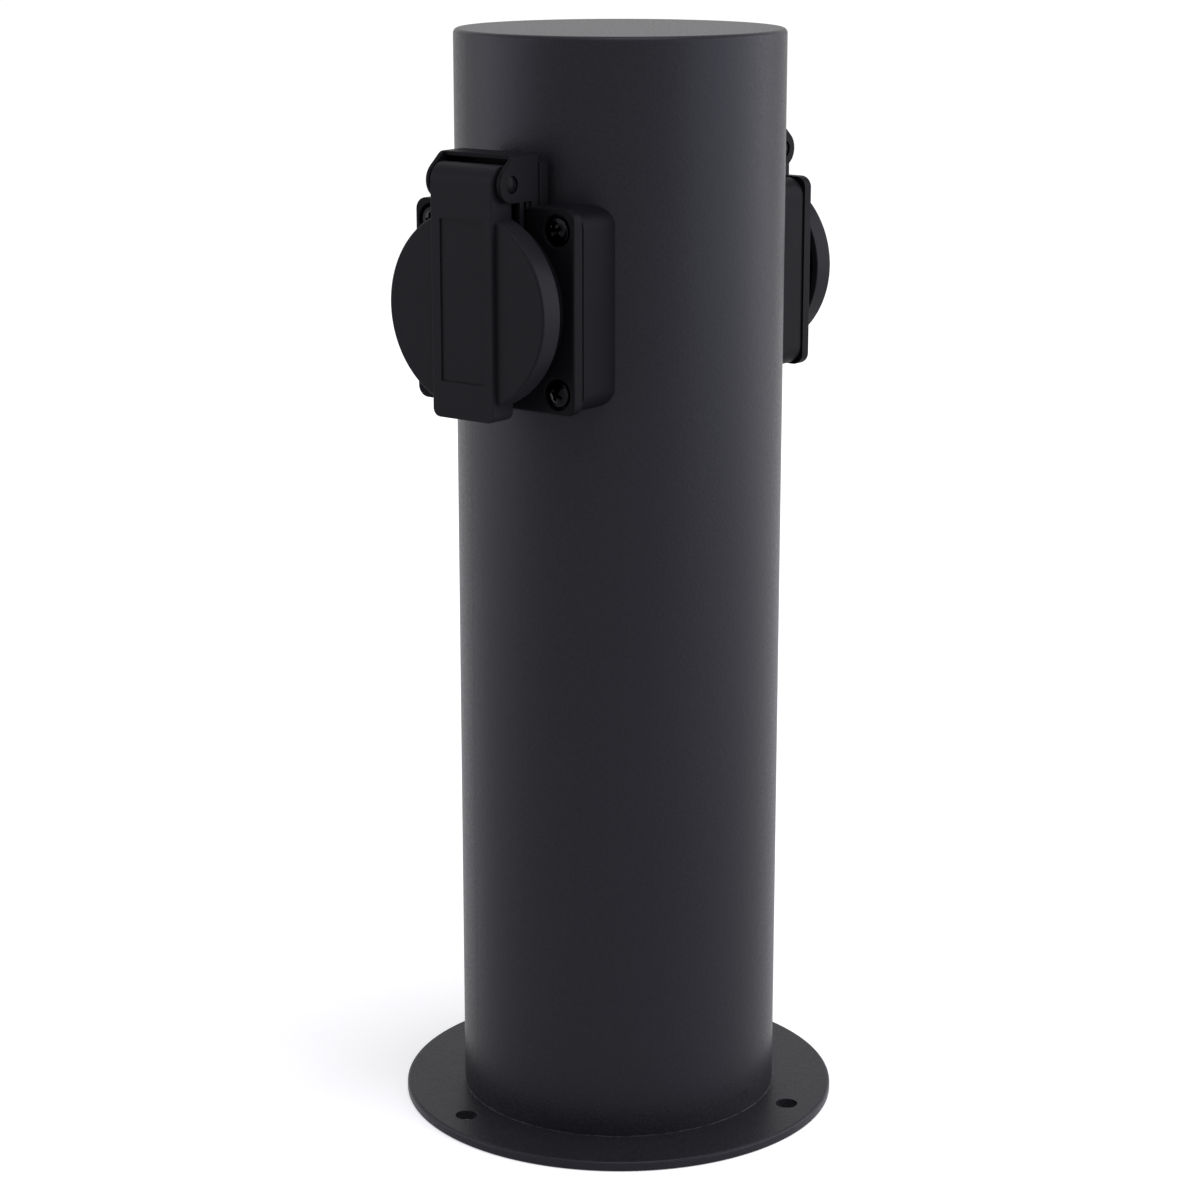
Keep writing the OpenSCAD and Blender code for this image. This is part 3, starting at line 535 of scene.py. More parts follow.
# The fixed mouldings are the darker of the two, and the lids a shade greyer
plastic = moulded_black("moulded_black_polyamide", "0e0e11", "121215", 0.025)
lid_plastic = moulded_black("moulded_lid_polyamide", "19191c", "1d1d20", 0.03)
# Screws of blackened steel, oiled: dark with sharp glints
black_steel = plain_finish("blackened_steel", "0c0c0e", "151517", 1.5, (0.1, 0.18), metal=1.0)
# Hinge pins of steel with a black oxide skin: darker and duller than the screws
black_oxide = plain_finish("black_oxide_steel", "0d0d0f", "131316", 1.5, (0.2, 0.3), specular=0.03)
# EPDM rubber, moulded: deep black and dull
rubber = plain_finish("epdm_rubber", "08080a", "0d0d0f", 0.8, (0.6, 0.75), specular=0.04)
# Zinc-plated spring wire, drawn: bright with fine streaks
spring_steel = plain_finish("zinc_plated_spring_wire", "a9adb2", "c3c6ca", 0.6, (0.22, 0.34), metal=1.0)
# Zinc-plated steel, passivated: pale blue-grey with soft spangle
zinc = plain_finish("zinc_plated_steel", "a6abb0", "c6cace", 2.0, (0.28, 0.42), metal=1.0)
# Brass, stamped and turned: warm yellow with slight tarnish
brass = plain_finish("stamped_brass", "a8823c", "c9a557", 2.5, (0.24, 0.38), metal=1.0)
# Tinned brass of the earth strip: paler and silkier than the bare brass
tinned_brass = plain_finish("tinned_brass", "b5a98c", "cfc6ad", 2.0, (0.26, 0.38), metal=1.0)
# Urea moulding of the contact carrier and the terminal block: warm white and satin
urea = plain_finish("urea_moulding", "cfcabb", "dcd8ca", 6.0, (0.38, 0.48), bump=0.06)
# Soft PVC covers of the wires, extruded: even and satin
brown_pvc = plain_finish("brown_wire_pvc", "543420", "603d26", 4.0, (0.36, 0.44), bump=0.03)
blue_pvc = plain_finish("blue_wire_pvc", "24539a", "2b5da6", 4.0, (0.36, 0.44), bump=0.03)
green_pvc = earth_cover()
# Copper of the bare wire ends, drawn: warm and bright
copper = plain_finish("drawn_copper", "b06a45", "c98058", 1.0, (0.24, 0.34), metal=1.0)


# Post, cap, foot plate and its weld
def screw_places():
    return [(u * SCREW_AT, z * SCREW_AT) for u in (-1, 1) for z in (-1, 1)]


def post_tube():
    rings = [(POST_R - TUBE_WALL, tube_low.z), (POST_R, tube_low.z), (POST_R, tube_high.z),
             (POST_R - TUBE_WALL, tube_high.z)]
    obj = as_object(turned(rings, upright, POST_STEPS, closed=True))
    cuts = [(BODY_HOLE_R, 0, 0)] + [(TUBE_SCREW_HOLE_R, u, z) for u, z in screw_places()]
    tools = []
    for side in (1, -1):
        for r, u, z in cuts:
            hole = turned_out(bar(r, side * TUBE_HOLE_FROM, side * (POST_R + PAST)), steps=64)
            tools.append(moved(hole, u, z + SOCKET_Z))
    return smooth(carved(obj, *tools))


def top_cap():
    edge = arc((POST_R - CAP_ROUND, cap_high.z - CAP_ROUND), CAP_ROUND, 0, 90, 6)
    profile = [(0, cap_low.z), (POST_R, cap_low.z), *edge, (0, cap_high.z)]
    return smooth(as_object(turned(profile, upright, POST_STEPS)))


def base_plate():
    upper = arc((PLATE_R - PLATE_ROUND, PLATE_T - PLATE_ROUND), PLATE_ROUND, 0, 90, 6)
    lower = arc((PLATE_R - PLATE_UNDER_ROUND, PLATE_UNDER_ROUND), PLATE_UNDER_ROUND, -90, 0, 4)
    profile = [(CABLE_HOLE_R, 0), *lower, *upper, (CABLE_HOLE_R, PLATE_T)]
    obj = as_object(turned(profile, upright, POST_STEPS, closed=True))
    lip_r, above = ANCHOR_HOLE_R + ANCHOR_LIP, PLATE_T + JUST_PAST
    lip = arc((lip_r, PLATE_T - ANCHOR_LIP), ANCHOR_LIP, 180, 90, 5)
    tool = [(0, -JUST_PAST), (ANCHOR_HOLE_R, -JUST_PAST), *lip, (lip_r, above), (0, above)]
    holes = []
    for i in range(ANCHOR_COUNT):
        turn = math.radians(ANCHOR_TURN + i * 360 / ANCHOR_COUNT)
        hole = turned(tool, upright, steps=48)
        x, y = ANCHOR_CIRCLE_R * math.cos(turn), ANCHOR_CIRCLE_R * math.sin(turn)
        bmesh.ops.translate(hole, verts=hole.verts, vec=(x, y, 0))
        holes.append(hole)
    return smooth(carved(obj, *holes))


def foot_weld():
    """Thin weld between tube and plate, drawn under the coat: a hollow fillet with slight lumps."""
    steps = 360
    bm = bmesh.new()
    rings = []
    for i in range(steps):
        turn = 2 * math.pi * i / steps
        lumps = [share * math.sin(count * turn + start) for share, count, start in WELD_LUMPS]
        leg = WELD_LEG * (1 + sum(lumps))
        hollow = arc((POST_R + leg, PLATE_T + leg), leg, 180, 270, 5)
        inside, under = POST_R - WELD_BURIED, PLATE_T - WELD_BURIED
        section = [(inside, PLATE_T + leg), *hollow, (POST_R + leg, under), (inside, under)]
        rings.append([bm.verts.new((r * math.cos(turn), r * math.sin(turn), z)) for r, z in section])
    for a, b in zip(rings, rings[1:] + rings[:1]):
        for i in range(len(a)):
            k = (i + 1) % len(a)
            bm.faces.new((a[i], a[k], b[k], b[i]))
    bmesh.ops.recalc_face_normals(bm, faces=bm.faces)
    return smooth(as_object(bm))


place_post(post_tube(), "post_tube", coat)
place_post(top_cap(), "top_cap", coat)
place_post(base_plate(), "base_plate", coat)
place_post(foot_weld(), "foot_weld", coat, replaced=False)


# Block behind the flange, and the flange's seal
def tab_outline(inset, top):
    """Tab behind the hinge, in u and z, with its upper corners rounded."""
    half = EAR_OUT - inset
    return [(-half, 0), (half, 0), *arc((half - TAB_CORNER, top - TAB_CORNER), TAB_CORNER, 0, 90, 8),
            *arc((TAB_CORNER - half, top - TAB_CORNER), TAB_CORNER, 90, 180, 8)]


def through_holes(front):
    """Cutters for the socket's body and its four screws, from the post's axis out past a face."""
    bore = turned_out(bar(BODY_HOLE_R, 0, front + PAST))
    hole = bar(SCREW_HOLE_R, 0, front + PAST)
    return [bore] + [moved(turned_out(hole, 24), u, z) for u, z in screw_places()]


def saddle_block():
    body = outwards(round_square(BLOCK_HALF, BLOCK_ROUND), POST_R - BLOCK_DEPTH, BLOCK_FRONT)
    soften(body, BLOCK_EDGE, keep=lambda p: p.y < NEAR_FRONT - BLOCK_FRONT)
    tab = outwards(tab_outline(TAB_STEP, BLOCK_TAB_TOP), POST_R + TAB_TUBE_GAP, BLOCK_FRONT)
    soften(tab, TAB_EDGE, least_angle=40)
    seat = turned(bar(POST_R + SEAT_GAP, -BLOCK_HALF - PAST, BLOCK_HALF + PAST), upright, POST_STEPS)
    return smooth(carved(joined(as_object(body), tab), seat, *through_holes(BLOCK_FRONT)))


def flange_gasket():
    sheet = outwards(round_square(SEAL_HALF, BLOCK_ROUND), BLOCK_FRONT, FLANGE_BACK)
    soften(sheet, SEAL_EDGE, segments=2)
    tab = outwards(tab_outline(2 * TAB_STEP, SEAL_TAB_TOP), BLOCK_FRONT, FLANGE_BACK)
    return smooth(carved(joined(as_object(sheet), tab), *through_holes(FLANGE_BACK)))


place_sockets(saddle_block(), "saddle_block", plastic)
place_sockets(flange_gasket(), "flange_gasket", rubber)


# Socket housing: flange, plug well, collar, hinge ears and rain hood in one moulding
ear_corner_at = (HINGE_OUT - EAR_LEAN, HINGE_TOP - EAR_CORNER)


def ear_outline():
    """Hinge ear in n and z: round at the pin, sloping up to the round end of its top."""
    rise = ear_corner_at[1] - HINGE_UP
    slope = math.degrees(math.atan2(rise, -EAR_LEAN)
                         - math.acos((EAR_R - EAR_CORNER) / math.hypot(EAR_LEAN, rise)))
    foot, root = FLANGE_HALF - 1.5, FLANGE_FRONT - 0.6
    return [(FLANGE_BACK, foot), (root, foot), (root, HINGE_UP - EAR_R),
            *arc((HINGE_OUT, HINGE_UP), EAR_R, -90, slope, 18),
            *arc(ear_corner_at, EAR_CORNER, slope, 90, 8), (FLANGE_BACK, HINGE_TOP)]


def hood_outline():
    """Rain hood in n and z: its top runs on the ears' round end, and its front edge is eased."""
    ease = 0.2
    under = HINGE_TOP - HOOD_T
    start = math.degrees(math.acos((HOOD_FRONT - ease - ear_corner_at[0]) / EAR_CORNER))
    top = arc(ear_corner_at, EAR_CORNER, start, 90, 6)
    return [(FLANGE_BACK + 0.5, under), (HOOD_FRONT - ease, under), (HOOD_FRONT, under + ease),
            (HOOD_FRONT, top[0][1] - ease), *top, (FLANGE_BACK + 0.5, HINGE_TOP)]


def collar_profile():
    back = WELL_BOTTOM - WELL_FLOOR_T
    lip = 0.45
    foot = 0.6
    return [(0, back), (WELL_R, back), (WELL_R, back - SKIRT_LEN), (COLLAR_R, back - SKIRT_LEN),
            *arc((COLLAR_R - lip, COLLAR_FRONT - lip), lip, 0, 90, 4),
            *arc((WELL_R + lip, COLLAR_FRONT - lip), lip, 90, 180, 4),
            *arc((WELL_R - foot, WELL_BOTTOM + foot), foot, 0, -90, 4), (0, WELL_BOTTOM)]


def screw_well():
    """Cutter for a flange screw: the head's well with an eased edge, and the hole below it."""
    ease = 0.3
    back, above = FLANGE_BACK - PAST, FLANGE_FRONT + JUST_PAST
    edge = arc((SCREW_WELL_R + ease, FLANGE_FRONT - ease), ease, 180, 90, 4)
    return [(0, back), (SCREW_HOLE_R, back), (SCREW_HOLE_R, SCREW_SEAT), (SCREW_WELL_R, SCREW_SEAT), *edge,
            (SCREW_WELL_R + ease, above), (0, above)]


def pin_hole():
    """Cutter for a plug pin: a hole with a wide lead-in."""
    lead = 0.7
    mouth_r, above = PIN_HOLE_R + lead, WELL_BOTTOM + JUST_PAST
    return [(0, DRILL_FROM), (PIN_HOLE_R, DRILL_FROM), (PIN_HOLE_R, WELL_BOTTOM - lead),
            (mouth_r, WELL_BOTTOM + 0.01), (mouth_r, above), (0, above)]


def guide_rib(side):
    """Guide on a side of the plug well, cut to the round of the well's wall."""
    middle = side * WELL_R
    rib = box((middle - GUIDE_DEPTH, WELL_BOTTOM - 0.5, -GUIDE_HALF),
              (middle + GUIDE_DEPTH, COLLAR_FRONT - 1, GUIDE_HALF))
    inner_r, outer_r = WELL_R - 3, WELL_R + WELL_BITE
    back = WELL_BOTTOM - 1
    ring = turned_out([(inner_r, back), (outer_r, back), (outer_r, COLLAR_FRONT), (inner_r, COLLAR_FRONT)],
                      closed=True)
    kept = worked(as_object(soften(rib, GUIDE_EDGE)), [ring], "INTERSECT")
    bm = bmesh.new()
    bm.from_mesh(kept.data)
    bpy.data.objects.remove(kept)
    return bm


def hinge_hole():
    """Cutter for the hinge pin: its hole through both ears, and a seat for its head in each."""
    seat, past = EAR_OUT - PIN_HEAD_T, EAR_OUT + JUST_PAST
    head_r = PIN_HEAD_R + PIN_HEAD_ROOM
    half = [(PIN_R + PIN_ROOM, seat), (head_r, seat), (head_r, past), (0, past)]
    return turned_pin([(r, -u) for r, u in reversed(half)] + half)


def socket_housing():
    plate = outwards(round_square(FLANGE_HALF, FLANGE_ROUND), FLANGE_BACK, FLANGE_FRONT)
    soften(plate, FLANGE_EDGE, segments=4, keep=lambda p: p.y < NEAR_FRONT - FLANGE_FRONT)
    well = turned_out(bar(WELL_R + WELL_BITE, FLANGE_BACK - PAST, FLANGE_FRONT + PAST))
    body = carved(as_object(plate), well)
    parts = [turned_out(collar_profile())]
    inside = EAR_OUT - EAR_T / 2
    parts.append(box((-inside, FLANGE_BACK, FLANGE_HALF - 0.5),
                     (inside, BACK_WALL_FRONT, HINGE_TOP - HOOD_T / 2)))
    parts.append(across(hood_outline(), -inside, inside))
    for side in (1, -1):
        u0 = EAR_OUT - EAR_T if side > 0 else -EAR_OUT
        parts.append(soften(across(ear_outline(), u0, u0 + EAR_T), EAR_EDGE, least_angle=40))
        rib = box((u0, RIB_BACK, RIB_FOOT), (u0 + EAR_T, RIB_FRONT, HINGE_UP - PIN_R))
        parts.append(soften(rib, RIB_EDGE, segments=2))
        parts.append(guide_rib(side))
    joined(body, *parts)
    cuts = [moved(turned_out(screw_well(), 64), u, z) for u, z in screw_places()]
    for side in (1, -1):
        cuts.append(moved(turned_out(pin_hole(), 48), side * PIN_HOLE_AT))
        low, high = sorted((side * EARTH_SLOT[0], side * EARTH_SLOT[1]))
        cuts.append(box((-EARTH_SLOT_HALF, DRILL_FROM, low),
                        (EARTH_SLOT_HALF, WELL_BOTTOM + JUST_PAST, high)))
    return smooth(carved(body, *cuts, hinge_hole()))


def hinge_pin():
    head = EAR_OUT - PIN_HEAD_T
    dome_r = (PIN_HEAD_R ** 2 + PIN_DOME ** 2) / (2 * PIN_DOME)
    reach = math.degrees(math.asin(PIN_HEAD_R / dome_r))
    dome = arc((0, EAR_OUT - dome_r), dome_r, 90 - reach, 90, 6)
    half = [(PIN_R, 0), (PIN_R, head), (PIN_HEAD_R, head), *dome[:-1], (0, EAR_OUT)]
    profile = [(r, -u) for r, u in reversed(half)] + half[1:]
    return smooth(as_object(turned_pin(profile)))


place_sockets(socket_housing(), "socket_housing", plastic)
place_sockets(hinge_pin(), "hinge_pin", black_oxide)


# Lid: disc with its rim, and the strap that runs from the knuckle to the finger tab
def strap():
    """The strap as one bent bar: its side outline in n and z, with rounded tab corners and edges."""
    meet = math.degrees(math.acos((LID_BACK - KNUCKLE_OUT) / KNUCKLE_R))
    side = [(STRAP_FRONT, TAB_BOTTOM), *arc((KNUCKLE_OUT, HINGE_UP), KNUCKLE_R, 0, 360 - meet, 40),
            (LID_BACK, TAB_BOTTOM)]
    bm = across(side, -STRAP_HALF, STRAP_HALF)
    corners = [e for e in bm.edges if all(v.co.z < TAB_BOTTOM + 0.01 for v in e.verts)
               and abs(e.verts[0].co.x - e.verts[1].co.x) < 0.01]
    bmesh.ops.bevel(bm, geom=corners, offset=TAB_ROUND, offset_type="OFFSET", segments=8,
                    profile=0.5, affect="EDGES")
    return soften(bm, STRAP_EDGE, least_angle=40)


def lid():
    edge = arc((LID_R - LID_ROUND, LID_FRONT - LID_ROUND), LID_ROUND, 0, 90, 5)
    back = arc((LID_R - LID_BACK_ROUND, LID_BACK + LID_BACK_ROUND), LID_BACK_ROUND, -90, 0, 3)
    obj = as_object(turned_out([(0, LID_BACK), *back, *edge, (0, LID_FRONT)], steps=200))
    joined(obj, strap())
    corner = 0.5
    open_side = LID_BACK - PAST
    cavity = turned_out([(0, open_side), (LID_IN_R, open_side),
                         *arc((LID_IN_R - corner, LID_INSIDE - corner), corner, 0, 90, 4), (0, LID_INSIDE)])
    panel = box((-PANEL_HALF, STRAP_FRONT - PANEL_DEPTH, PANEL_BOTTOM),
                (PANEL_HALF, STRAP_FRONT + JUST_PAST, PANEL_TOP))
    bore = turned_pin(bar(PIN_R + KNUCKLE_ROOM, -STRAP_HALF - JUST_PAST, STRAP_HALF + JUST_PAST))
    pocket = turned_pin(bar(SPRING_POCKET_R, -SPRING_POCKET_HALF, SPRING_POCKET_HALF))
    mouth = box((-SPRING_POCKET_HALF, BACK_WALL_FRONT, HINGE_UP - SPRING_POCKET_R),
                (SPRING_POCKET_HALF, HINGE_OUT, HINGE_UP + SPRING_POCKET_R))
    leg_u = SPRING_TURNS * SPRING_PITCH / 2 - SPRING_PITCH / 4
    leg = box((leg_u - SPRING_LEG_ROOM, HINGE_OUT, HINGE_UP - SPRING_LEG - SPRING_LEG_ROOM),
              (leg_u + SPRING_LEG_ROOM, HINGE_OUT + SPRING_POCKET_R, HINGE_UP))
    return smooth(carved(obj, cavity, panel, bore, pocket, mouth, leg))


def lid_gasket():
    r0, r1 = WELL_R - 1, LID_IN_R - SEAT_GAP
    n0, n1 = -lid_seal_high.y, -lid_seal_low.y
    lip = 0.5
    profile = [(r0, n1), *arc((r0 + lip, n0 + lip), lip, 180, 270, 4),
               *arc((r1 - lip, n0 + lip), lip, 270, 360, 4), (r1, n1)]
    return smooth(as_object(turned_out(profile, closed=True)))


place_sockets(lid(), "lid", lid_plastic, moving=True)
place_sockets(lid_gasket(), "lid_gasket", rubber, moving=True)


# Flange screws: one pan-head screw with a cross recess, set on four places by Geometry Nodes
SCREW_HEAD_R = 3.1
SCREW_HEAD_H = 1.9
SCREW_CROWN_R = 4.2
SCREW_CROWN_HALF = 2.3
SCREW_RIM_R = 0.55
SCREW_RIM_UP = 0.75
SCREW_R = 1.75
SCREW_LEN = 16.0
THREAD_PITCH = 1.3
THREAD_DEPTH = 0.35
POINT_LEN = 2.5
POINT_BLUNT = 0.12
SCREW_SPIN = 0.61
# Cross recess: level, reach and half width of a blade at its floor and above the head
BLADE_ENDS = ((0.45, 0.75, 0.3), (SCREW_HEAD_H + 0.3, 2.15, 0.55))


def cross_recess():
    """Cutter for a cross recess: two tapered blades that meet in the middle of the head."""
    blades = []
    for turn in (0, 90):
        bm = bmesh.new()
        ends = []
        for level, reach, half in BLADE_ENDS:
            ring = [(-reach, -half), (reach, -half), (reach, half), (-reach, half)]
            ends.append([bm.verts.new((x, -level, z)) for x, z in ring])
        bm.faces.new(ends[0])
        bm.faces.new(reversed(ends[1]))
        for i in range(4):
            k = (i + 1) % 4
            bm.faces.new((ends[0][i], ends[0][k], ends[1][k], ends[1][i]))
        bmesh.ops.recalc_face_normals(bm, faces=bm.faces)
        spin = Matrix.Rotation(math.radians(45 + turn), 3, "Y")
        bmesh.ops.rotate(bm, verts=bm.verts, cent=(0, 0, 0), matrix=spin)
        blades.append(bm)
    return blades


def pan_screw():
    """One screw with its seat at n = 0: head, cross recess and a cut thread down to the point."""
    crown_from = math.degrees(math.acos(SCREW_CROWN_HALF / SCREW_CROWN_R))
    crown = arc((0, SCREW_HEAD_H - SCREW_CROWN_R), SCREW_CROWN_R, crown_from, 90, 5)
    rim = arc((SCREW_HEAD_R - SCREW_RIM_R, SCREW_RIM_UP), SCREW_RIM_R, -20, 55, 6)
    bm = turned_out([(0, -0.01), (SCREW_HEAD_R - 0.1, -0.01), *rim, *crown[:-1], (0, SCREW_HEAD_H)], 48)
    head = carved(as_object(bm), *cross_recess())
    shank = bmesh.new()
    steps, turn_steps = 120, 24
    sunk = 0.3
    rings = []
    for i in range(steps + 1):
        depth = SCREW_LEN * i / steps
        taper = min(1.0, (SCREW_LEN - depth) / POINT_LEN + POINT_BLUNT)
        ring = []
        for k in range(turn_steps):
            turn = 2 * math.pi * k / turn_steps
            wave = abs((depth / THREAD_PITCH - k / turn_steps) % 1 - 0.5) * 2
            r = (SCREW_R - THREAD_DEPTH * wave) * taper
            ring.append(shank.verts.new(in_socket(r * math.cos(turn), sunk - depth, r * math.sin(turn))))
        rings.append(ring)
    for a, b in zip(rings, rings[1:]):
        for k in range(turn_steps):
            m = (k + 1) % turn_steps
            shank.faces.new((a[k], a[m], b[m], b[k]))
    shank.faces.new(rings[0])
    shank.faces.new(reversed(rings[-1]))
    bmesh.ops.recalc_face_normals(shank, faces=shank.faces)
    return smooth(joined(head, shank))


def screw_tree(material):
    """Geometry Nodes: a screw on the four corners of a square of a given pitch, at a given seat."""
    tree = bpy.data.node_groups.new("flange_screw_set", "GeometryNodeTree")
    for name, kind in (("Screw", "Object"), ("Pitch", "Float"), ("Seat", "Float")):
        tree.interface.new_socket(name, in_out="INPUT", socket_type="NodeSocket" + kind)
    tree.interface.new_socket("Geometry", in_out="OUTPUT", socket_type="NodeSocketGeometry")
    given = add(tree, "NodeGroupInput")
    pitch = given.outputs["Pitch"]
    corners = add(tree, "GeometryNodeMeshGrid",
                  {"Size X": pitch, "Size Y": pitch, "Vertices X": 2, "Vertices Y": 2})
    stand = add(tree, "GeometryNodeTransform",
                {"Geometry": corners.outputs["Mesh"], "Rotation": (math.radians(90), 0, 0)})
    back = add(tree, "ShaderNodeMath", {0: given.outputs["Seat"], 1: -1.0}, operation="MULTIPLY")
    shift = add(tree, "ShaderNodeCombineXYZ", {"Y": back.outputs[0]})
    seated = add(tree, "GeometryNodeTransform",
                 {"Geometry": stand.outputs[0], "Translation": shift.outputs[0]})
    screw = add(tree, "GeometryNodeObjectInfo", {"Object": given.outputs["Screw"]})
    index = add(tree, "GeometryNodeInputIndex")
    turn = add(tree, "ShaderNodeMath", {0: index.outputs[0], 1: SCREW_SPIN}, operation="MULTIPLY")
    spin = add(tree, "ShaderNodeCombineXYZ", {"Y": turn.outputs[0]})
    placed = add(tree, "GeometryNodeInstanceOnPoints",
                 {"Points": seated.outputs[0], "Instance": screw.outputs["Geometry"],
                  "Rotation": spin.outputs[0]})
    real = add(tree, "GeometryNodeRealizeInstances", {"Geometry": placed.outputs[0]})
    painted = add(tree, "GeometryNodeSetMaterial", {"Geometry": real.outputs[0], "Material": material})
    add(tree, "NodeGroupOutput", {"Geometry": painted.outputs[0]})
    return tree


def flange_screws():
    screw = pan_screw()
    holder = as_object(bmesh.new(), "flange_screws")
    grow(holder, screw_tree(black_steel),
         {"Screw": screw, "Pitch": 2 * SCREW_AT, "Seat": SCREW_SEAT})
    bpy.data.objects.remove(screw)
    return holder


place_sockets(flange_screws(), "flange_screws", black_steel)


# Round stock along a path, swept by Geometry Nodes: the lid springs and the wires
def stock_tree():
    """Geometry Nodes: a round bar along a route of points, straight or smoothly curved between them.
    The angle round the bar is kept in an attribute named around, from 0 to 1."""
    tree = bpy.data.node_groups.new("round_stock", "GeometryNodeTree")
    for name, kind in (("Route", "Geometry"), ("Radius", "Float"), ("Sides", "Int"), ("Steps", "Int"),
                       ("Cover", "Material")):
        tree.interface.new_socket(name, in_out="INPUT", socket_type="NodeSocket" + kind)
    tree.interface.new_socket("Geometry", in_out="OUTPUT", socket_type="NodeSocketGeometry")
    given = add(tree, "NodeGroupInput")
    line = add(tree, "GeometryNodeMeshToCurve", {"Mesh": given.outputs["Route"]})
    curved = add(tree, "GeometryNodeCurveSplineType", {"Curve": line.outputs[0]}, spline_type="CATMULL_ROM")
    fine = add(tree, "GeometryNodeSetSplineResolution",
               {"Geometry": curved.outputs[0], "Resolution": given.outputs["Steps"]})
    ring = add(tree, "GeometryNodeCurvePrimitiveCircle",
               {"Resolution": given.outputs["Sides"], "Radius": given.outputs["Radius"]})
    index = add(tree, "GeometryNodeInputIndex")
    part = add(tree, "ShaderNodeMath", {0: index.outputs[0], 1: given.outputs["Sides"]}, operation="DIVIDE")
    marked = add(tree, "GeometryNodeStoreNamedAttribute",
                 {"Geometry": ring.outputs[0], "Name": "around", "Value": part.outputs[0]})
    swept = add(tree, "GeometryNodeCurveToMesh",
                {"Curve": fine.outputs[0], "Profile Curve": marked.outputs[0], "Fill Caps": True})
    real = add(tree, "GeometryNodeRealizeInstances", {"Geometry": swept.outputs[0]})
    painted = add(tree, "GeometryNodeSetMaterial",
                  {"Geometry": real.outputs[0], "Material": given.outputs["Cover"]})
    add(tree, "NodeGroupOutput", {"Geometry": painted.outputs[0]})
    return tree


STOCK = stock_tree()
# Edges sharper than this stay crisp on round stock, in degrees
ROUND_ANGLE = 50


def round_stock(points, r, sides, steps, cover):
    """A round bar along points, with a number of steps from point to point."""
    mesh = bpy.data.meshes.new("route")
    mesh.from_pydata(points, [(i, i + 1) for i in range(len(points) - 1)], [])
    obj = bpy.data.objects.new("route", mesh)
    scene.collection.objects.link(obj)
    grow(obj, STOCK, {"Radius": r, "Sides": sides, "Steps": steps, "Cover": cover})
    bm = bmesh.new()
    bm.from_mesh(obj.data)
    bmesh.ops.recalc_face_normals(bm, faces=bm.faces)
    bm.to_mesh(obj.data)
    bm.free()
    return obj


def lid_spring():
    """Torsion spring: a leg on the housing's rear wall, five turns round the pin, a leg down the lid."""
    per_turn = 24
    count = SPRING_TURNS * per_turn - per_turn // 4
    length = SPRING_TURNS * SPRING_PITCH
    coil = []
    for i in range(count + 1):
        turn = math.radians(90 + 360 * i / per_turn)
        n, z = HINGE_OUT + SPRING_R * math.cos(turn), HINGE_UP + SPRING_R * math.sin(turn)
        coil.append(in_socket(SPRING_PITCH * i / per_turn - length / 2, n, z))
    wall_end = in_socket(coil[0].x, BACK_WALL_FRONT + 2 * SPRING_WIRE_R, HINGE_UP + SPRING_R)
    lid_end = coil[-1] - Vector((0, 0, SPRING_LEG))
    return round_stock([wall_end, *coil, lid_end], SPRING_WIRE_R, 12, 1, spring_steel), length


def place_springs():
    """Sets the spring down at both sockets, in place of the imported ones, with its placing baked into its
    mesh.
    """
    spring, length = lid_spring()
    for made, side in front_and_rear(smooth(spring, ROUND_ANGLE)):
        dress(made, f"{side}_lid_spring", spring_steel)
        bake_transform(made)
        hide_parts(f"{side}_lid_spring")


place_springs()

# Wires: each leaves its terminals straight, and follows points listed between them.
# Their points are in x and y from the post's axis, and z from the sockets' height
WIRE_R = 1.2
CORE_R = 0.7
CORE_LEN = 7.0
WIRE_LEADS = (6, 10)
TERMINAL_OUT = 29.0
TERMINAL_END = -13.4
BLOCK_BORE_X = 20.0
BLOCK_POLE_PITCH = 13.0
BLOCK_BORE_STEP = 2.1
BLOCK_TOP_END = -61.9
BLOCK_UNDER_END = -81.1
LUG_END = Vector((26.2, 14.0, -103.6))
LUG_CORE = 5.0

ROUTES = {
    "front_line_wire": [(13, -24, -36.5), (19, -16, -46.5)],
    "front_earth_wire": [(3, -24, -37.5), (12, -12, -46.5), (18.5, -3.5, -51.5)],
    "front_neutral_wire": [(-5, -22, -28.5), (5, -8, -29.5), (16, 7, -31.5), (20, 11, -40.5)],
    "rear_line_wire": [(-6, 23, -34.5), (5, 8, -38.5), (16, -7, -40.5), (20, -11, -48.5)],
    "rear_earth_wire": [(3, 24, -37.5), (12, 12, -46.5), (18.5, 3.5, -51.5)],
    "rear_neutral_wire": [(13, 24, -36.5), (19, 16, -46.5)],
    "post_earth_wire": [(23.5, 10, -116), (21, 5.5, -116), (20, 2.5, -110.5)],
}
POLES = {"line": (1, -1), "neutral": (-1, 1), "earth": (0, 0)}
COVERS = {"line": (brown_pvc, "wire_brown"), "neutral": (blue_pvc, "wire_blue"),
          "earth": (green_pvc, "wire_green")}


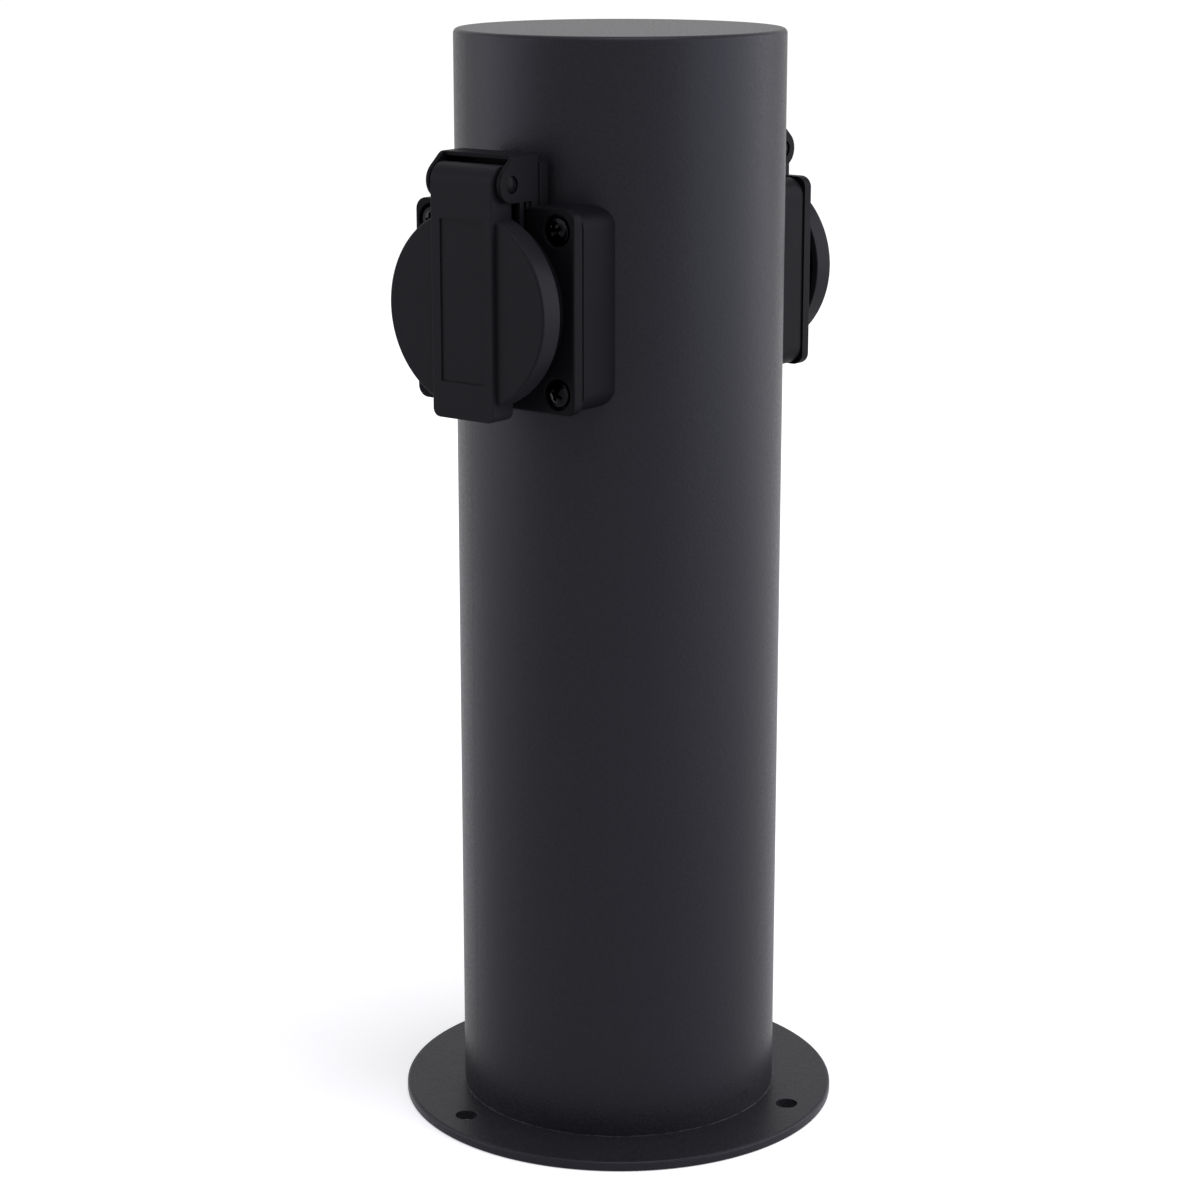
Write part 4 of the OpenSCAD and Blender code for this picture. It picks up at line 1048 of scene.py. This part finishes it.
def wire(name):
    """A covered wire with a bare end at each terminal, in one mesh with two materials."""
    side, kind = name.split("_")[:2]
    up = Vector((0, 0, 1))
    if side == "post":
        start, start_core = LUG_END, LUG_CORE
        end = Vector((BLOCK_BORE_X, BLOCK_BORE_STEP, BLOCK_UNDER_END))
        arrive = -up
    else:
        sign = SIDES[side]
        at, pole = POLES[kind]
        start = Vector((sign * at * PIN_HOLE_AT, -sign * TERMINAL_OUT, TERMINAL_END))
        start_core = CORE_LEN
        end = Vector((BLOCK_BORE_X, pole * BLOCK_POLE_PITCH - sign * BLOCK_BORE_STEP, BLOCK_TOP_END))
        arrive = up
    leaving = [start - lead * up for lead in WIRE_LEADS]
    between = [Vector(p) for p in ROUTES[name]]
    route = [start, *leaving, *between, end + WIRE_LEADS[0] * arrive, end]
    cover, slot = COVERS[kind]
    obj = round_stock(route, WIRE_R, 16, 8, cover)
    bm = bmesh.new()
    bm.from_mesh(obj.data)
    for at, along, reach in ((start, up, start_core), (end, -arrive, CORE_LEN)):
        bare = round_stock([at - along, at + along * reach], CORE_R, 12, 1, copper)
        old = len(bm.faces)
        bm.from_mesh(bare.data)
        bm.faces.ensure_lookup_table()
        for face in bm.faces[old:]:
            face.material_index = 1
        bpy.data.objects.remove(bare)
    bm.to_mesh(obj.data)
    bm.free()
    obj.data.materials.append(copper)
    obj.data.shade_smooth()
    obj.data.set_sharp_from_angle(angle=math.radians(ROUND_ANGLE))
    set_at_socket(obj)
    obj.name = obj.data.name = name
    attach(obj, "post")
    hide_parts(name)


for wire_name in ROUTES:
    wire(wire_name)

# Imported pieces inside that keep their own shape
SOCKET_INSIDE = {"contact_carrier": urea, "line_contact": brass, "neutral_contact": brass,
                 "earth_clip": tinned_brass, "terminal_screws": zinc}
POST_INSIDE = {"terminal_block": urea, "terminal_inserts": brass, "terminal_block_screws": zinc,
               "block_bracket": zinc, "bracket_screws": zinc, "earth_stud": zinc, "earth_nut": zinc,
               "earth_lug": tinned_brass}
both_sockets = {f"{side}_{piece}": finish for side in SIDES for piece, finish in SOCKET_INSIDE.items()}
for node, node_finish in (both_sockets | POST_INSIDE).items():
    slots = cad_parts[node].data.materials
    slots.clear()
    slots.append(node_finish)


# Camera at the photograph's viewing angle, in metres and degrees
CAMERA_AZIMUTH = 37.5
CAMERA_DISTANCE = 0.7115
CAMERA_HEIGHT = 0.3091
CAMERA_PITCH = 14.15
CAMERA_YAW = 0.39
FOCAL_PIXELS = 2924.1
IMAGE_PIXELS = 1200
SENSOR_MM = 36

azimuth = math.radians(CAMERA_AZIMUTH)
camera_data = bpy.data.cameras.new("camera")
camera_data.sensor_width = SENSOR_MM
camera_data.lens = FOCAL_PIXELS / IMAGE_PIXELS * SENSOR_MM
camera = bpy.data.objects.new("camera", camera_data)
camera.location = (math.sin(azimuth) * CAMERA_DISTANCE, -math.cos(azimuth) * CAMERA_DISTANCE,
                   CAMERA_HEIGHT)
camera.rotation_euler = (math.radians(90 - CAMERA_PITCH), 0, azimuth + math.radians(CAMERA_YAW))
scene.collection.objects.link(camera)
scene.camera = camera


# Studio, in metres: white floor, even white surround, soft boxes
def shown_rays(tree):
    """1 for the rays that see the background: from the camera, or by reflection or through glass."""
    path = add(tree, "ShaderNodeLightPath")
    seen = path.outputs["Is Camera Ray"]
    for way in ("Is Glossy Ray", "Is Transmission Ray"):
        seen = add(tree, "ShaderNodeMath", {0: seen, 1: path.outputs[way]}, operation="MAXIMUM").outputs[0]
    return seen


# The floor glows towards white for the rays that show it: less near the post, whose shadow stays,
# and not at all under the foot plate
FLOOR_HALF = 30.0
FLOOR_DROP = 0.0001
FLOOR_GLOW_NEAR = 0.4
FLOOR_GLOW_FAR = 0.76
GLOW_FROM = 0.25
GLOW_EDGE = (0.05, 0.054)
GLOW_TO = 1.0
SURROUND_LIGHT = 0.34
COOL_WHITE = (0.92, 0.92, 1.0)

floor_mesh = bmesh.new()
bmesh.ops.create_grid(floor_mesh, x_segments=1, y_segments=1, size=FLOOR_HALF)
floor = as_object(floor_mesh, "floor")
floor_paint = bpy.data.materials.new("matt_white_floor")
floor_paint.use_nodes = True
floor_tree = floor_paint.node_tree
floor_shader = floor_tree.nodes["Principled BSDF"]
floor_shader.inputs["Base Color"].default_value = (0.8, 0.8, 0.8, 1)
floor_shader.inputs["Roughness"].default_value = 0.9
floor_shader.inputs["Specular IOR Level"].default_value = 0.0
floor_shader.inputs["Emission Color"].default_value = (1, 1, 1, 1)
floor_place = add(floor_tree, "ShaderNodeTexCoord").outputs["Object"]
floor_reach = add(floor_tree, "ShaderNodeVectorMath", {0: floor_place}, operation="LENGTH")
floor_far = add(floor_tree, "ShaderNodeMapRange",
                {0: floor_reach.outputs["Value"], 1: GLOW_FROM, 2: GLOW_TO,
                 3: FLOOR_GLOW_NEAR, 4: FLOOR_GLOW_FAR})
floor_open = add(floor_tree, "ShaderNodeMapRange",
                 {0: floor_reach.outputs["Value"], 1: GLOW_EDGE[0], 2: GLOW_EDGE[1], 3: 0.0, 4: 1.0})
floor_seen = add(floor_tree, "ShaderNodeMath", {0: shown_rays(floor_tree), 1: floor_open.outputs[0]},
                 operation="MULTIPLY")
floor_glow = add(floor_tree, "ShaderNodeMath", {0: floor_seen.outputs[0], 1: floor_far.outputs[0]},
                 operation="MULTIPLY")
floor_tree.links.new(floor_glow.outputs[0], floor_shader.inputs["Emission Strength"])
floor.data.materials.append(floor_paint)
floor.location.z = -FLOOR_DROP

world = bpy.data.worlds.new("studio")
world.use_nodes = True
scene.world = world
sky = world.node_tree
level = add(sky, "ShaderNodeMapRange", {0: shown_rays(sky), 1: 0.0, 2: 1.0, 3: SURROUND_LIGHT, 4: 1.0})
sky.nodes["Background"].inputs["Color"].default_value = (1, 1, 1, 1)
sky.links.new(level.outputs[0], sky.nodes["Background"].inputs["Strength"])


def soft_box(name, turn, distance, height, size, radiance, aim_height=0.15):
    """A soft box to the right of the camera by turn degrees, aimed at the post."""
    lamp = bpy.data.lights.new(name, "AREA")
    lamp.shape = "RECTANGLE"
    lamp.size, lamp.size_y = size
    lamp.energy = radiance * math.pi * size[0] * size[1]
    lamp.color = COOL_WHITE
    obj = bpy.data.objects.new(name, lamp)
    way = azimuth + math.radians(turn)
    obj.location = (math.sin(way) * distance, -math.cos(way) * distance, height)
    aim = Vector((0, 0, aim_height)) - obj.location
    obj.rotation_euler = aim.to_track_quat("-Z", "Y").to_euler()
    scene.collection.objects.link(obj)


soft_box("right_soft_box", turn=84, distance=1.1, height=0.45, size=(1.9, 0.9), radiance=3.1)
soft_box("left_soft_box", turn=-87, distance=1.2, height=0.45, size=(1.2, 0.9), radiance=2.2)
soft_box("top_soft_box", turn=20, distance=0.35, height=1.25, size=(0.7, 0.7), radiance=4.6)

scene.view_settings.view_transform = "Standard"
